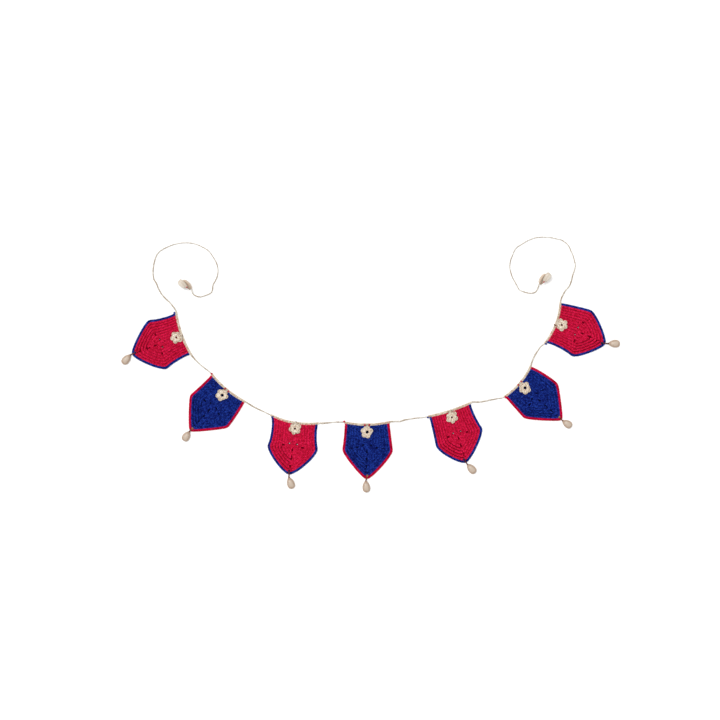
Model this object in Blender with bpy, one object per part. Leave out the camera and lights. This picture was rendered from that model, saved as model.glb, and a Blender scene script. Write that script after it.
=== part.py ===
"""Crochet toran: seven house-shaped flags on a crocheted cord, laid out flat as a swag.

Metres, +Z up. The toran lies on the surface z = 0, seen from above with the swag's
opening towards +Y. The origin is under the middle of the row of flags.

Each flag is made in its own frame: x runs along its top edge, y points away from its
tip, and the origin is the middle of its top edge. An empty carries the flag's pieces
to their place in the swag.
"""
import math
from collections import namedtuple

import bmesh
import bpy
from mathutils import Matrix, Vector

# Thicknesses and widths of the crocheted work
GAP = 0.0003
PANEL_CREST = 0.0037
PANEL_GROOVE = 0.0025
ROWS = 8
EDGING_WIDTH = 0.0070
EDGING_HEIGHT = 0.0038
HEADER_WIDTH = 0.0068
HEADER_HEIGHT = 0.0038
HEADER_TO_EDGING = 0.0068
STEPS_PER_SIDE = 5
EYELET_DIAMETER = 0.0058
EYELET_SIDES = 6

# The flower that is sewn over each top edge
FLOWER_RADIUS = 0.0190
FLOWER_HOLE_RADIUS = 0.0024
FLOWER_HEIGHT = 0.0045
FLOWER_BASE = max(PANEL_CREST, HEADER_HEIGHT) + GAP
STEPS_PER_PETAL = 4

# Shells and the thread that ties them
SHELL_WIDTH = 0.0240
SHELL_HEIGHT = 0.0130
SHELL_WIDEST = 0.28
SHELL_STEPS = 14
SHELL_TAPER = 0.20
TIE_RADIUS = 0.0010
KNOT_RADIUS = 0.0021
KNOT_INSIDE_TIP = 0.0085
TIE_SIDES = 6

# The crocheted chain
CORD_RADIUS = 0.0024
CORD_STEP = 0.0125
CORD_LEAD = 0.0050

# Where each flag lies: middle of its top edge, and the turn of that edge in degrees
Place = namedtuple("Place", "name yarn x y turn")
PLACES = [
    Place("flag_1", "red", -0.574, 0.196, -70.6),
    Place("flag_2", "blue", -0.437, 0.029, -39.4),
    Place("flag_3", "red", -0.234, -0.067, -9.7),
    Place("flag_4", "blue", -0.012, -0.076, 0.5),
    Place("flag_5", "red", 0.241, -0.037, 17.9),
    Place("flag_6", "blue", 0.449, 0.049, 49.5),
    Place("flag_7", "red", 0.557, 0.229, 69.2),
]

# Length of the top edge, how far it sags towards the tip, the other three corners, and
# the middle that the rows are worked about
Shape = namedtuple("Shape", "top sag right tip left middle")
SHAPES = {
    "flag_1": Shape(0.137, 0.0070, (0.083, -0.086), (0.007, -0.167), (-0.072, -0.087), (0.0055, -0.083)),
    "flag_2": Shape(0.132, 0.0065, (0.073, -0.095), (-0.007, -0.173), (-0.074, -0.091), (-0.0015, -0.079)),
    "flag_3": Shape(0.146, 0.0100, (0.083, -0.081), (0.011, -0.166), (-0.066, -0.094), (0.0090, -0.083)),
    "flag_4": Shape(0.137, 0.0070, (0.075, -0.089), (-0.003, -0.171), (-0.074, -0.085), (-0.0010, -0.078)),
    "flag_5": Shape(0.134, 0.0040, (0.075, -0.086), (-0.003, -0.1665), (-0.072, -0.096), (-0.0005, -0.081)),
    "flag_6": Shape(0.123, 0.0085, (0.072, -0.098), (-0.001, -0.176), (-0.070, -0.088), (-0.0005, -0.076)),
    "flag_7": Shape(0.131, 0.0100, (0.075, -0.097), (-0.003, -0.170), (-0.073, -0.093), (0.0020, -0.085)),
}

# How far each edge bulges outwards at its middle; a pulled-in edge is negative
Bulge = namedtuple("Bulge", "right low_right low_left left")
BULGES = {
    "flag_1": Bulge(-0.0046, 0.0080, 0.0058, -0.0050),
    "flag_2": Bulge(0.0020, 0.0020, 0.0025, -0.0015),
    "flag_3": Bulge(-0.0040, 0.0092, 0.0082, -0.0065),
    "flag_4": Bulge(0.0000, 0.0064, 0.0050, -0.0015),
    "flag_5": Bulge(-0.0040, 0.0075, 0.0085, -0.0010),
    "flag_6": Bulge(0.0040, 0.0020, 0.0030, 0.0000),
    "flag_7": Bulge(0.0010, 0.0070, 0.0065, -0.0050),
}
BULGE_POWER = 2.6

# What is sewn to each flag: flower centre and petals, shell's far end, length and swing
# in degrees from straight down, and how many of the eyelets below are open
Trim = namedtuple("Trim", "flower petals shell_end shell_length swing eyelets")
TRIMS = {
    "flag_1": Trim((0.004, -0.025), 6, (0.0255, -0.2070), 0.036, 30, 7),
    "flag_2": Trim((0.000, -0.029), 6, (-0.0030, -0.2120), 0.033, 8, 7),
    "flag_3": Trim((0.006, -0.028), 6, (0.0290, -0.2105), 0.036, 27, 7),
    "flag_4": Trim((0.000, -0.030), 5, (-0.0030, -0.2150), 0.036, 4, 9),
    "flag_5": Trim((-0.001, -0.025), 6, (0.0150, -0.2090), 0.036, 25, 7),
    "flag_6": Trim((0.000, -0.030), 6, (0.0020, -0.2160), 0.033, 7, 7),
    "flag_7": Trim((0.003, -0.028), 6, (0.0130, -0.2150), 0.036, 21, 7),
}

# Eyelets at the corners of the rows: how far they lie from the middle of the rows,
# across the line to the tip and down along it
Eyelet = namedtuple("Eyelet", "across down")
EYELETS = [
    Eyelet(-0.012, -0.008),
    Eyelet(0.012, -0.008),
    Eyelet(0.000, 0.012),
    Eyelet(-0.031, -0.001),
    Eyelet(0.031, 0.000),
    Eyelet(0.000, 0.037),
    Eyelet(0.000, 0.060),
    Eyelet(-0.050, 0.003),
    Eyelet(0.052, 0.002),
]

# The cord between the flags: points chosen along each link, from left to right
LINK_POINTS = [
    [(-0.536, 0.113), (-0.519, 0.097), (-0.502, 0.084)],
    [(-0.361, -0.028), (-0.341, -0.038), (-0.322, -0.047)],
    [(-0.145, -0.0790), (-0.126, -0.0770), (-0.105, -0.0755)],
    [(0.075, -0.0735), (0.090, -0.0735), (0.103, -0.069), (0.133, -0.064), (0.160, -0.0615)],
    [(0.332, -0.014), (0.360, -0.009), (0.385, -0.004)],
    [(0.492, 0.106), (0.501, 0.127), (0.512, 0.145), (0.521, 0.157)],
]

# The two free tails, from the outer flags to their clusters of shells
LEFT_TAIL_POINTS = [
    (-0.615, 0.289), (-0.630, 0.303), (-0.642, 0.317), (-0.653, 0.337), (-0.658, 0.350), (-0.666, 0.364),
    (-0.668, 0.387), (-0.665, 0.410), (-0.659, 0.431), (-0.648, 0.447), (-0.624, 0.461), (-0.595, 0.471),
    (-0.569, 0.474), (-0.542, 0.471), (-0.519, 0.462), (-0.498, 0.449), (-0.484, 0.430), (-0.473, 0.410),
    (-0.469, 0.387), (-0.473, 0.366), (-0.484, 0.345), (-0.486, 0.330), (-0.491, 0.320), (-0.506, 0.313),
    (-0.524, 0.308), (-0.539, 0.312), (-0.547, 0.320),
]
RIGHT_TAIL_POINTS = [
    (0.586, 0.310), (0.596, 0.328), (0.608, 0.342), (0.614, 0.358), (0.618, 0.375), (0.624, 0.392),
    (0.626, 0.405), (0.624, 0.416), (0.619, 0.434), (0.613, 0.448), (0.605, 0.465), (0.595, 0.475),
    (0.584, 0.482), (0.572, 0.485), (0.555, 0.489), (0.536, 0.491), (0.520, 0.491), (0.503, 0.489),
    (0.489, 0.484), (0.474, 0.477), (0.458, 0.467), (0.446, 0.459), (0.438, 0.447), (0.432, 0.432),
    (0.427, 0.418), (0.425, 0.398), (0.429, 0.380), (0.434, 0.366), (0.441, 0.354), (0.448, 0.340),
    (0.454, 0.330), (0.464, 0.325), (0.476, 0.321), (0.489, 0.319), (0.500, 0.321), (0.508, 0.328),
]
TAIL_END_RISE = 0.0051
TAIL_RISE_LENGTH = 0.030

# The clusters at the tails' ends: neck, direction in degrees, and the near shell's side
Cluster = namedtuple("Cluster", "name x y turn near_side")
CLUSTERS = [
    Cluster("left", -0.5520, 0.3305, 137, -1),
    Cluster("right", 0.5180, 0.3455, 50, 1),
]
NEAR_SHELL_LENGTH = 0.0360
FAR_SHELL_LENGTH = 0.0340
NEAR_SHELL_TILT = 14
FAR_SHELL_START = 0.0125
FAR_SHELL_MIDDLE = 0.0123
BEAD_RADIUS = 0.0028
BEAD_ALONG = 0.0090

COLOURS = {
    "red": (0.50, 0.012, 0.045),
    "blue": (0.010, 0.016, 0.16),
    "cream": (0.70, 0.60, 0.47),
    "shell": (0.60, 0.47, 0.35),
    "thread": (0.16, 0.06, 0.03),
    "bead": (0.45, 0.03, 0.03),
}
ROUGHNESS = {"shell": 0.25, "bead": 0.3}
YARN_ROUGHNESS = 0.9
SMOOTH_ANGLE = math.radians(40)


def clear_scene():
    for item in list(bpy.data.objects):
        bpy.data.objects.remove(item, do_unlink=True)


def make_materials():
    materials = {}
    for name, colour in COLOURS.items():
        material = bpy.data.materials.new(name)
        material.use_nodes = True
        shader = material.node_tree.nodes["Principled BSDF"]
        shader.inputs["Base Color"].default_value = (*colour, 1.0)
        shader.inputs["Roughness"].default_value = ROUGHNESS.get(name, YARN_ROUGHNESS)
        shader.inputs["Metallic"].default_value = 0.0
        materials[name] = material
    return materials


def loft(rings, closed=False):
    """Points and faces of a skin over rings of equal length, capped unless it is closed."""
    sides = len(rings[0])
    points = [point for ring in rings for point in ring]
    faces = []
    for ring in range(len(rings) if closed else len(rings) - 1):
        first = ring * sides
        second = (ring + 1) % len(rings) * sides
        for side in range(sides):
            following = (side + 1) % sides
            faces.append((first + side, first + following, second + following, second + side))
    if not closed:
        last = (len(rings) - 1) * sides
        faces.append(tuple(range(sides)))
        faces.append(tuple(range(last, last + sides)))
    return points, faces


def joined(solids):
    """The points and faces of several solids as one list each."""
    points = []
    faces = []
    for solid_points, solid_faces in solids:
        start = len(points)
        points.extend(solid_points)
        faces.extend(tuple(start + index for index in face) for face in solid_faces)
    return points, faces


def add_solid(name, solid, material=None, parent=None, location=(0, 0, 0), rotation=(0, 0, 0)):
    mesh = bpy.data.meshes.new(name)
    points, faces = solid
    mesh.from_pydata(points, [], faces)
    shape = bmesh.new()
    shape.from_mesh(mesh)
    bmesh.ops.recalc_face_normals(shape, faces=shape.faces)
    shape.to_mesh(mesh)
    shape.free()
    mesh.shade_smooth()
    mesh.set_sharp_from_angle(angle=SMOOTH_ANGLE)
    if material:
        mesh.materials.append(material)
    item = bpy.data.objects.new(name, mesh)
    bpy.context.collection.objects.link(item)
    item.parent = parent
    item.location = location
    item.rotation_euler = rotation
    return item


def add_empty(name, x, y, turn):
    empty = bpy.data.objects.new(name, None)
    bpy.context.collection.objects.link(empty)
    empty.location = (x, y, 0)
    empty.rotation_euler = (0, 0, math.radians(turn))
    return empty


def inward(start, end):
    """The unit vector to the right of the way from start to end."""
    way = (end - start).normalized()
    return Vector((way.y, -way.x))


def offset_line(line, distances, closed=False):
    """A line whose segments are moved to the right, each by its own distance."""
    count = len(line)
    moved = []
    for index in range(count):
        before = index - 1 if closed or index else 0
        after = index if closed or index < count - 1 else count - 2
        first = inward(line[before], line[(before + 1) % count])
        second = inward(line[after], line[(after + 1) % count])
        near, far = distances[before], distances[after]
        crossing = first.x * second.y - first.y * second.x
        if near == far:
            shift = (first + second) * near / (1 + first.dot(second))
        else:
            shift = Vector((near * second.y - far * first.y, far * first.x - near * second.x)) / crossing
        moved.append(line[index] + shift)
    return moved


def top_line(shape, reach, steps):
    """The top edge from -reach to reach: it sags most at its middle."""
    half = shape.top / 2
    line = []
    for step in range(steps + 1):
        x = reach * (2 * step / steps - 1)
        line.append(Vector((x, -shape.sag * (1 - (x / half) ** 2))))
    return line


def bulged_side(start, end, bulge):
    """Points from start to just before end, bowed to the left of the way."""
    outward = -inward(start, end)
    side = []
    for step in range(STEPS_PER_SIDE):
        share = step / STEPS_PER_SIDE
        swell = 1 - abs(2 * share - 1) ** BULGE_POWER
        side.append(start.lerp(end, share) + outward * bulge * swell)
    return side


def flag_loop(name):
    """The middle line of the header and the edging, clockwise from the top left corner."""
    shape = SHAPES[name]
    bulge = BULGES[name]
    top = top_line(shape, shape.top / 2 - EDGING_WIDTH / 2, STEPS_PER_SIDE)
    right, tip, left = Vector(shape.right), Vector(shape.tip), Vector(shape.left)
    loop = top[:-1]
    loop += bulged_side(top[-1], right, bulge.right)
    loop += bulged_side(right, tip, bulge.low_right)
    loop += bulged_side(tip, left, bulge.low_left)
    loop += bulged_side(left, top[0], bulge.left)
    return loop


def flat_ring(line, height):
    return [(point.x, point.y, height) for point in line]


def on_line(line, x):
    """The point at x on a line that runs from left to right."""
    index = 1
    while index < len(line) - 1 and line[index].x < x:
        index += 1
    start, end = line[index - 1], line[index]
    return start.lerp(end, (x - start.x) / (end.x - start.x))


def panel_rows(name):
    """The panel's rows from its edge inwards, each a U from the top edge round to it again."""
    to_header = HEADER_WIDTH / 2 + GAP
    to_edging = EDGING_WIDTH / 2 + GAP
    loop = flag_loop(name)
    sides = len(loop) - STEPS_PER_SIDE
    outline = offset_line(loop, [to_header] * STEPS_PER_SIDE + [to_edging] * sides, closed=True)
    top = outline[:STEPS_PER_SIDE + 1]
    edge = outline[STEPS_PER_SIDE:] + outline[:1]
    head = on_line(top, 0)
    middle = Vector(SHAPES[name].middle)
    rows = []
    for half_row in range(2 * ROWS, 0, -1):
        row = []
        for index, point in enumerate(edge):
            below_top = min(index, len(edge) - 1 - index)
            foot = head.lerp(middle, min(below_top / STEPS_PER_SIDE, 1))
            row.append(foot.lerp(point, half_row / (2 * ROWS)))
        row[0] = on_line(top, row[0].x)
        row[-1] = on_line(top, row[-1].x)
        rows.append(row)
    return rows


def panel_solid(name):
    """The panel: rows of stitches raised about its middle, with a flat back."""
    points = []
    for index, row in enumerate(panel_rows(name)):
        points += flat_ring(row, PANEL_CREST if index % 2 else PANEL_GROOVE)
    across = 4 * STEPS_PER_SIDE + 1
    last = len(points) - across
    faces = [tuple(range(last, len(points)))]
    for first in range(0, last, across):
        for index in range(first, first + across - 1):
            faces.append((index, index + 1, index + across + 1, index + across))
    left_ends = range(2 * across - 1, len(points), across)
    right_ends = range(last, 0, -across)
    rim = [*range(across), *left_ends, *right_ends]
    base = len(points)
    points += [(points[index][0], points[index][1], 0) for index in rim]
    faces.append(tuple(range(base, len(points))))
    for index, corner in enumerate(rim):
        following = (index + 1) % len(rim)
        faces.append((corner, rim[following], base + following, base + index))
    return points, faces


def eyelets_solid(name):
    """Prisms that stand through the panel wherever an eyelet is open."""
    middle = Vector(SHAPES[name].middle)
    down = (Vector(SHAPES[name].tip) - middle).normalized()
    across = Vector((-down.y, down.x))
    prisms = []
    for eyelet in EYELETS[:TRIMS[name].eyelets]:
        centre = middle + across * eyelet.across + down * eyelet.down
        outline = []
        for side in range(EYELET_SIDES):
            turn = math.tau * side / EYELET_SIDES
            outline.append(centre + Vector((math.cos(turn), math.sin(turn))) * EYELET_DIAMETER / 2)
        prisms.append(loft([flat_ring(outline, -PANEL_CREST), flat_ring(outline, 2 * PANEL_CREST)]))
    return joined(prisms)


def strip_solid(line, width, height):
    """One round of stitches along a line: flat below and ridged above."""
    count = len(line) - 1
    outer = offset_line(line, [-width / 2] * count)
    inner = offset_line(line, [width / 2] * count)
    rings = []
    for far, near in zip(outer, inner):
        middle = (far + near) / 2
        rings.append([
            (far.x, far.y, 0),
            (near.x, near.y, 0),
            (near.x, near.y, height / 2),
            (middle.x, middle.y, height),
            (far.x, far.y, height / 2),
        ])
    return loft(rings)


def edging_solid(name):
    """The contrast round down both sides and along the sloping lower edges."""
    loop = flag_loop(name)
    line = loop[STEPS_PER_SIDE:] + loop[:1]
    line[0] += (line[1] - line[0]).normalized() * HEADER_TO_EDGING
    line[-1] += (line[-2] - line[-1]).normalized() * HEADER_TO_EDGING
    return strip_solid(line, EDGING_WIDTH, EDGING_HEIGHT)


def header_line(name):
    shape = SHAPES[name]
    ends = top_line(shape, shape.top / 2, 1)
    return ends[:1] + top_line(shape, shape.top / 2 - EDGING_WIDTH / 2, STEPS_PER_SIDE) + ends[1:]


def flower_solid(petals):
    """A flat rosette around an open middle, one petal pointing to the top edge."""
    rings = []
    steps = petals * STEPS_PER_PETAL
    for step in range(steps):
        turn = math.tau * step / steps
        swell = math.cos(petals * turn)
        outer = FLOWER_RADIUS * (0.89 + 0.11 * swell)
        crest = FLOWER_HEIGHT * (0.85 + 0.15 * swell)
        section = [
            (FLOWER_HOLE_RADIUS, 0),
            (outer, 0),
            (0.72 * outer, crest),
            (1.5 * FLOWER_HOLE_RADIUS, 0.55 * crest),
        ]
        across, along = math.sin(turn), math.cos(turn)
        rings.append([(radius * across, radius * along, FLOWER_BASE + up) for radius, up in section])
    return loft(rings, closed=True)


def shell_solid(length):
    """A shell with a flat mouth side below, narrow end at the origin, far end along +x."""
    levels = ((0.82, 0), (1.0, SHELL_WIDEST), (0.88, 0.68), (0.52, 0.93), (0.2, 1.0))
    rings = []
    for share, up in levels:
        ring = []
        for step in range(SHELL_STEPS):
            turn = math.tau * step / SHELL_STEPS
            along = math.cos(turn)
            across = math.sin(turn) * (1 + SHELL_TAPER * along)
            ring.append((length / 2 * (1 + share * along), SHELL_WIDTH / 2 * share * across, SHELL_HEIGHT * up))
        rings.append(ring)
    return loft(rings)


def strand_solid(stations, sideways):
    """A round strand through (point, radius) stations that lie in one upright plane."""
    rings = []
    for index, (point, radius) in enumerate(stations):
        before = stations[max(index - 1, 0)][0]
        after = stations[min(index + 1, len(stations) - 1)][0]
        upright = sideways.cross(after - before).normalized()
        ring = []
        for side in range(TIE_SIDES):
            turn = math.tau * side / TIE_SIDES
            ring.append(point + (sideways * math.cos(turn) + upright * math.sin(turn)) * radius)
        rings.append(ring)
    return loft(rings)


def shell_place(name):
    """The shell's narrow end and its direction, in the flag's own frame."""
    trim = TRIMS[name]
    swing = math.radians(trim.swing)
    way = Vector((math.sin(swing), -math.cos(swing)))
    return Vector(trim.shell_end) - way * trim.shell_length, way


def tie_solid(name):
    """The thread: a knot inside the tip, over the edging and down to the shell's end."""
    tip = Vector(SHAPES[name].tip)
    neck, _ = shell_place(name)
    way = (neck - tip).normalized()
    reach = (neck - tip).length
    over_edging = EDGING_HEIGHT + GAP + TIE_RADIUS
    knot_height = PANEL_CREST + GAP + KNOT_RADIUS
    nose = SHELL_WIDEST * SHELL_HEIGHT
    edge = EDGING_WIDTH / 2
    stations = [
        (-KNOT_INSIDE_TIP - KNOT_RADIUS, knot_height, 0.5 * KNOT_RADIUS),
        (-KNOT_INSIDE_TIP - 0.5 * KNOT_RADIUS, knot_height, KNOT_RADIUS),
        (-KNOT_INSIDE_TIP + 0.5 * KNOT_RADIUS, knot_height, KNOT_RADIUS),
        (-edge, over_edging + 2 * GAP, TIE_RADIUS),
        (0.7 * edge, over_edging + GAP, TIE_RADIUS),
        (reach - 2 * TIE_RADIUS - GAP, nose, TIE_RADIUS),
        (reach - 1.5 * GAP, nose, TIE_RADIUS),
    ]
    path = []
    for along, height, radius in stations:
        spot = tip + way * along
        path.append((Vector((spot.x, spot.y, height)), radius))
    return strand_solid(path, Vector((-way.y, way.x, 0)))


def bead_solid():
    shape = bmesh.new()
    bmesh.ops.create_icosphere(shape, subdivisions=1, radius=BEAD_RADIUS)
    points = [tuple(point.co) for point in shape.verts]
    faces = [tuple(point.index for point in face.verts) for face in shape.faces]
    shape.free()
    return points, faces


def top_end(place, right_end, beyond):
    """A point on the swag a little beyond one end of a flag's header."""
    line = header_line(place.name)
    end, before = (line[-1], line[-2]) if right_end else (line[0], line[1])
    spot = end + (end - before).normalized() * beyond
    turned = Matrix.Rotation(math.radians(place.turn), 2) @ spot
    return Vector((place.x, place.y)) + turned


def smooth_route(controls, step):
    """Points about a step apart on the smooth curve through all but the end controls."""
    dense = []
    for index in range(1, len(controls) - 2):
        before, start, end, after = controls[index - 1:index + 3]
        for part in range(12):
            t = part / 12
            dense.append(0.5 * (
                2 * start
                + (end - before) * t
                + (2 * before - 5 * start + 4 * end - after) * t ** 2
                + (3 * start - before - 3 * end + after) * t ** 3
            ))
    dense.append(controls[-2])
    lengths = [0.0]
    for start, end in zip(dense, dense[1:]):
        lengths.append(lengths[-1] + (end - start).length)
    count = round(lengths[-1] / step)
    route = []
    place = 0
    for index in range(count + 1):
        target = lengths[-1] * index / count
        while place < len(dense) - 2 and lengths[place + 1] < target:
            place += 1
        share = (target - lengths[place]) / (lengths[place + 1] - lengths[place])
        route.append(dense[place].lerp(dense[place + 1], share))
    return route


def add_cord(name, route, material, end_rise=0.0):
    """A tube along a route on the surface, its far end lifted by end_rise."""
    data = bpy.data.curves.new(name, "CURVE")
    data.dimensions = "3D"
    data.bevel_depth = CORD_RADIUS
    data.bevel_resolution = 2
    data.use_fill_caps = True
    spline = data.splines.new("POLY")
    spline.points.add(len(route) - 1)
    left = sum((end - start).length for start, end in zip(route, route[1:]))
    for index, spot in enumerate(route):
        if index:
            left -= (spot - route[index - 1]).length
        climb = max(0.0, 1 - left / TAIL_RISE_LENGTH)
        height = CORD_RADIUS + end_rise * climb ** 2 * (3 - 2 * climb)
        spline.points[index].co = (spot.x, spot.y, height, 1)
    data.materials.append(material)
    item = bpy.data.objects.new(name, data)
    bpy.context.collection.objects.link(item)
    return item


def build_flag(place, materials):
    name = place.name
    trim = TRIMS[name]
    other = "blue" if place.yarn == "red" else "red"
    empty = add_empty(f"{name}_place", place.x, place.y, place.turn)
    panel = add_solid(f"{name}_panel", panel_solid(name), materials[place.yarn], empty)
    cutter = add_solid(f"{name}_eyelets", eyelets_solid(name), None, empty)
    cutter.hide_render = True
    cutter.display_type = "WIRE"
    cut = panel.modifiers.new("eyelets", "BOOLEAN")
    cut.operation = "DIFFERENCE"
    cut.object = cutter
    add_solid(f"{name}_edging", edging_solid(name), materials[other], empty)
    header = strip_solid(header_line(name), HEADER_WIDTH, HEADER_HEIGHT)
    add_solid(f"{name}_header", header, materials["cream"], empty)
    add_solid(f"{name}_flower", flower_solid(trim.petals), materials["cream"], empty, (*trim.flower, 0))
    neck, way = shell_place(name)
    turn = (0, 0, math.atan2(way.y, way.x))
    add_solid(f"{name}_shell", shell_solid(trim.shell_length), materials["shell"], empty, (*neck, 0), turn)
    add_solid(f"{name}_tie", tie_solid(name), materials["thread"], empty)


def build_links(materials):
    for number, points in enumerate(LINK_POINTS, start=1):
        left, right = PLACES[number - 1], PLACES[number]
        start = [top_end(left, True, GAP), top_end(left, True, GAP + CORD_LEAD)]
        end = [top_end(right, False, GAP + CORD_LEAD), top_end(right, False, GAP)]
        controls = start + [Vector(point) for point in points] + end
        route = start[:1] + smooth_route(controls, CORD_STEP) + end[1:]
        add_cord(f"cord_link_{number}", route, materials["cream"])


def build_tail(name, place, right_end, points, cluster, materials):
    start = [top_end(place, right_end, GAP), top_end(place, right_end, GAP + CORD_LEAD)]
    turn = math.radians(cluster.turn)
    way = Vector((math.cos(turn), math.sin(turn)))
    aside = -inward(Vector((0, 0)), way) * cluster.near_side * SHELL_WIDEST * SHELL_HEIGHT
    neck = Vector((cluster.x, cluster.y)) + aside
    end = [neck - way * GAP, neck + way * CORD_LEAD]
    controls = start + [Vector(point) for point in points] + end
    route = start[:1] + smooth_route(controls, CORD_STEP)
    add_cord(name, route, materials["cream"], TAIL_END_RISE)


def build_cluster(cluster, materials):
    """Two shells on their edges, mouth to mouth, and a bead before the far one."""
    empty = add_empty(f"{cluster.name}_cluster_place", cluster.x, cluster.y, cluster.turn)
    side = cluster.near_side
    quarter = math.pi / 2
    tilt = math.radians(NEAR_SHELL_TILT)
    nose = CORD_RADIUS + TAIL_END_RISE
    near_rotation = (-side * quarter, -tilt, 0)
    add_solid(
        f"{cluster.name}_shell_near", shell_solid(NEAR_SHELL_LENGTH), materials["shell"], empty,
        (0.0002, side * GAP / 2, nose), near_rotation,
    )
    far_rotation = (side * quarter, 0, 0)
    add_solid(
        f"{cluster.name}_shell_far", shell_solid(FAR_SHELL_LENGTH), materials["shell"], empty,
        (FAR_SHELL_START, -side * GAP / 2, FAR_SHELL_MIDDLE), far_rotation,
    )
    bead_place = (BEAD_ALONG, -side * (BEAD_RADIUS + GAP), FAR_SHELL_MIDDLE)
    add_solid(f"{cluster.name}_bead", bead_solid(), materials["bead"], empty, bead_place)


def main():
    clear_scene()
    materials = make_materials()
    for place in PLACES:
        build_flag(place, materials)
    build_links(materials)
    build_tail("cord_tail_left", PLACES[0], False, LEFT_TAIL_POINTS, CLUSTERS[0], materials)
    build_tail("cord_tail_right", PLACES[-1], True, RIGHT_TAIL_POINTS, CLUSTERS[1], materials)
    for cluster in CLUSTERS:
        build_cluster(cluster, materials)
    bpy.context.view_layer.update()


main()
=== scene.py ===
# %% [markdown]
# # A crochet toran, stitch by stitch
# A toran is a string of small flags that hangs over a doorway. This one is crocheted:
# seven house-shaped flags in crimson and royal blue cotton, each with a border in the
# other colour, a cream band along its top, a cream flower and a shell tied to its tip.
# A crocheted chain joins the flags, and its two free tails end in pairs of shells.
# The whole piece lies flat, so the lesson is about yarn. We draw a few short strands
# that make one stitch, and then repeat that stitch along every row.

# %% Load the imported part
import math

import bmesh
import bpy
import numpy as np
from mathutils import Matrix, Vector


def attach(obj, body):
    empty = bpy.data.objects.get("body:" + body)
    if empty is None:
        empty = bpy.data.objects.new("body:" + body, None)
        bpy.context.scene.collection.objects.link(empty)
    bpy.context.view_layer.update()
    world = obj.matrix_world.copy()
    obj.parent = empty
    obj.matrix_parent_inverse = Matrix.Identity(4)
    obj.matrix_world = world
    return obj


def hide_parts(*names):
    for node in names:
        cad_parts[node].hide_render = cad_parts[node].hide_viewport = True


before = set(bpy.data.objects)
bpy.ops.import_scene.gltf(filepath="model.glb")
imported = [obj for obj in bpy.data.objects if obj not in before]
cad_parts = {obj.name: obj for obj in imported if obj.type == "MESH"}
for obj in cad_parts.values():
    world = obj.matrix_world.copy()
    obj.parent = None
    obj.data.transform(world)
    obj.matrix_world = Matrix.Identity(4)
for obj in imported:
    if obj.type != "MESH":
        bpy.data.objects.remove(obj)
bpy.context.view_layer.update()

print("nodes in the part:", len(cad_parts))

# %% [markdown]
# ## Camera, floor and light
# The toran was photographed from straight above on a white table. A long lens far away
# keeps every flag in true plan. The floor is a plain pale sheet. The key light is a sun
# with a wide disc, because its light is as strong at both ends of a piece this long. It
# comes from the upper left and draws the stitches, and a pale sky fills their shadows.

# %% Camera
VIEW_WIDTH = 2.2070
VIEW_CENTRE = (-0.0337, 0.1146)
CAMERA_HEIGHT = 6.0
SENSOR_WIDTH = 36.0


def add(name, data):
    """A new object in the scene."""
    item = bpy.data.objects.new(name, data)
    bpy.context.collection.objects.link(item)
    return item


camera_data = bpy.data.cameras.new("overhead_camera")
camera_data.sensor_width = SENSOR_WIDTH
camera_data.lens = SENSOR_WIDTH * CAMERA_HEIGHT / VIEW_WIDTH
camera_data.clip_end = 50.0
camera = add("overhead_camera", camera_data)
camera.location = (*VIEW_CENTRE, CAMERA_HEIGHT)
bpy.context.scene.camera = camera
print("lens in mm:", round(camera_data.lens, 1))

# %% Floor
TABLE_REACH = 6
TABLE_DROP = 0.0002


def new_material(name, sockets):
    """A material, its node tree and its shader, with plain values in some sockets."""
    material = bpy.data.materials.new(name)
    material.use_nodes = True
    tree = material.node_tree
    shader = tree.nodes["Principled BSDF"]
    for socket, value in sockets.items():
        shader.inputs[socket].default_value = value
    return material, tree, shader


def plain_material(name, colour, roughness, shine=0.5):
    sockets = {"Base Color": (*colour, 1.0), "Roughness": roughness, "Specular IOR Level": shine}
    return new_material(name, sockets)[0]


corners = [(x * TABLE_REACH, y * TABLE_REACH, 0) for x, y in ((-1, -1), (1, -1), (1, 1), (-1, 1))]
floor_mesh = bpy.data.meshes.new("floor")
floor_mesh.from_pydata(corners, [], [(0, 1, 2, 3)])
floor_mesh.materials.append(plain_material("white_table", (0.93, 0.93, 0.93), 0.9))
floor = add("floor", floor_mesh)
floor.location.z = -TABLE_DROP
print("floor:", floor.name)

# %% Light
SKY_STRENGTH = 0.91
SUN_STRENGTH = 1.75
SUN_WIDTH = math.radians(30)
TOWARDS_SUN = Vector((-0.34, 0.36, 1.0))

bpy.context.scene.view_settings.view_transform = "Standard"
sky = bpy.data.worlds.new("pale_sky")
sky.use_nodes = True
sky_light = sky.node_tree.nodes["Background"].inputs
sky_light["Color"].default_value = (1.0, 1.0, 1.0, 1.0)
sky_light["Strength"].default_value = SKY_STRENGTH
bpy.context.scene.world = sky

key_data = bpy.data.lights.new("key_light", "SUN")
key_data.energy = SUN_STRENGTH
key_data.angle = SUN_WIDTH
key = add("key_light", key_data)
key.rotation_euler = TOWARDS_SUN.to_track_quat("Z", "Y").to_euler()
off_vertical = TOWARDS_SUN.angle(Vector((0, 0, 1)))
print("key light is", round(math.degrees(off_vertical)), "degrees off the vertical")
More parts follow.
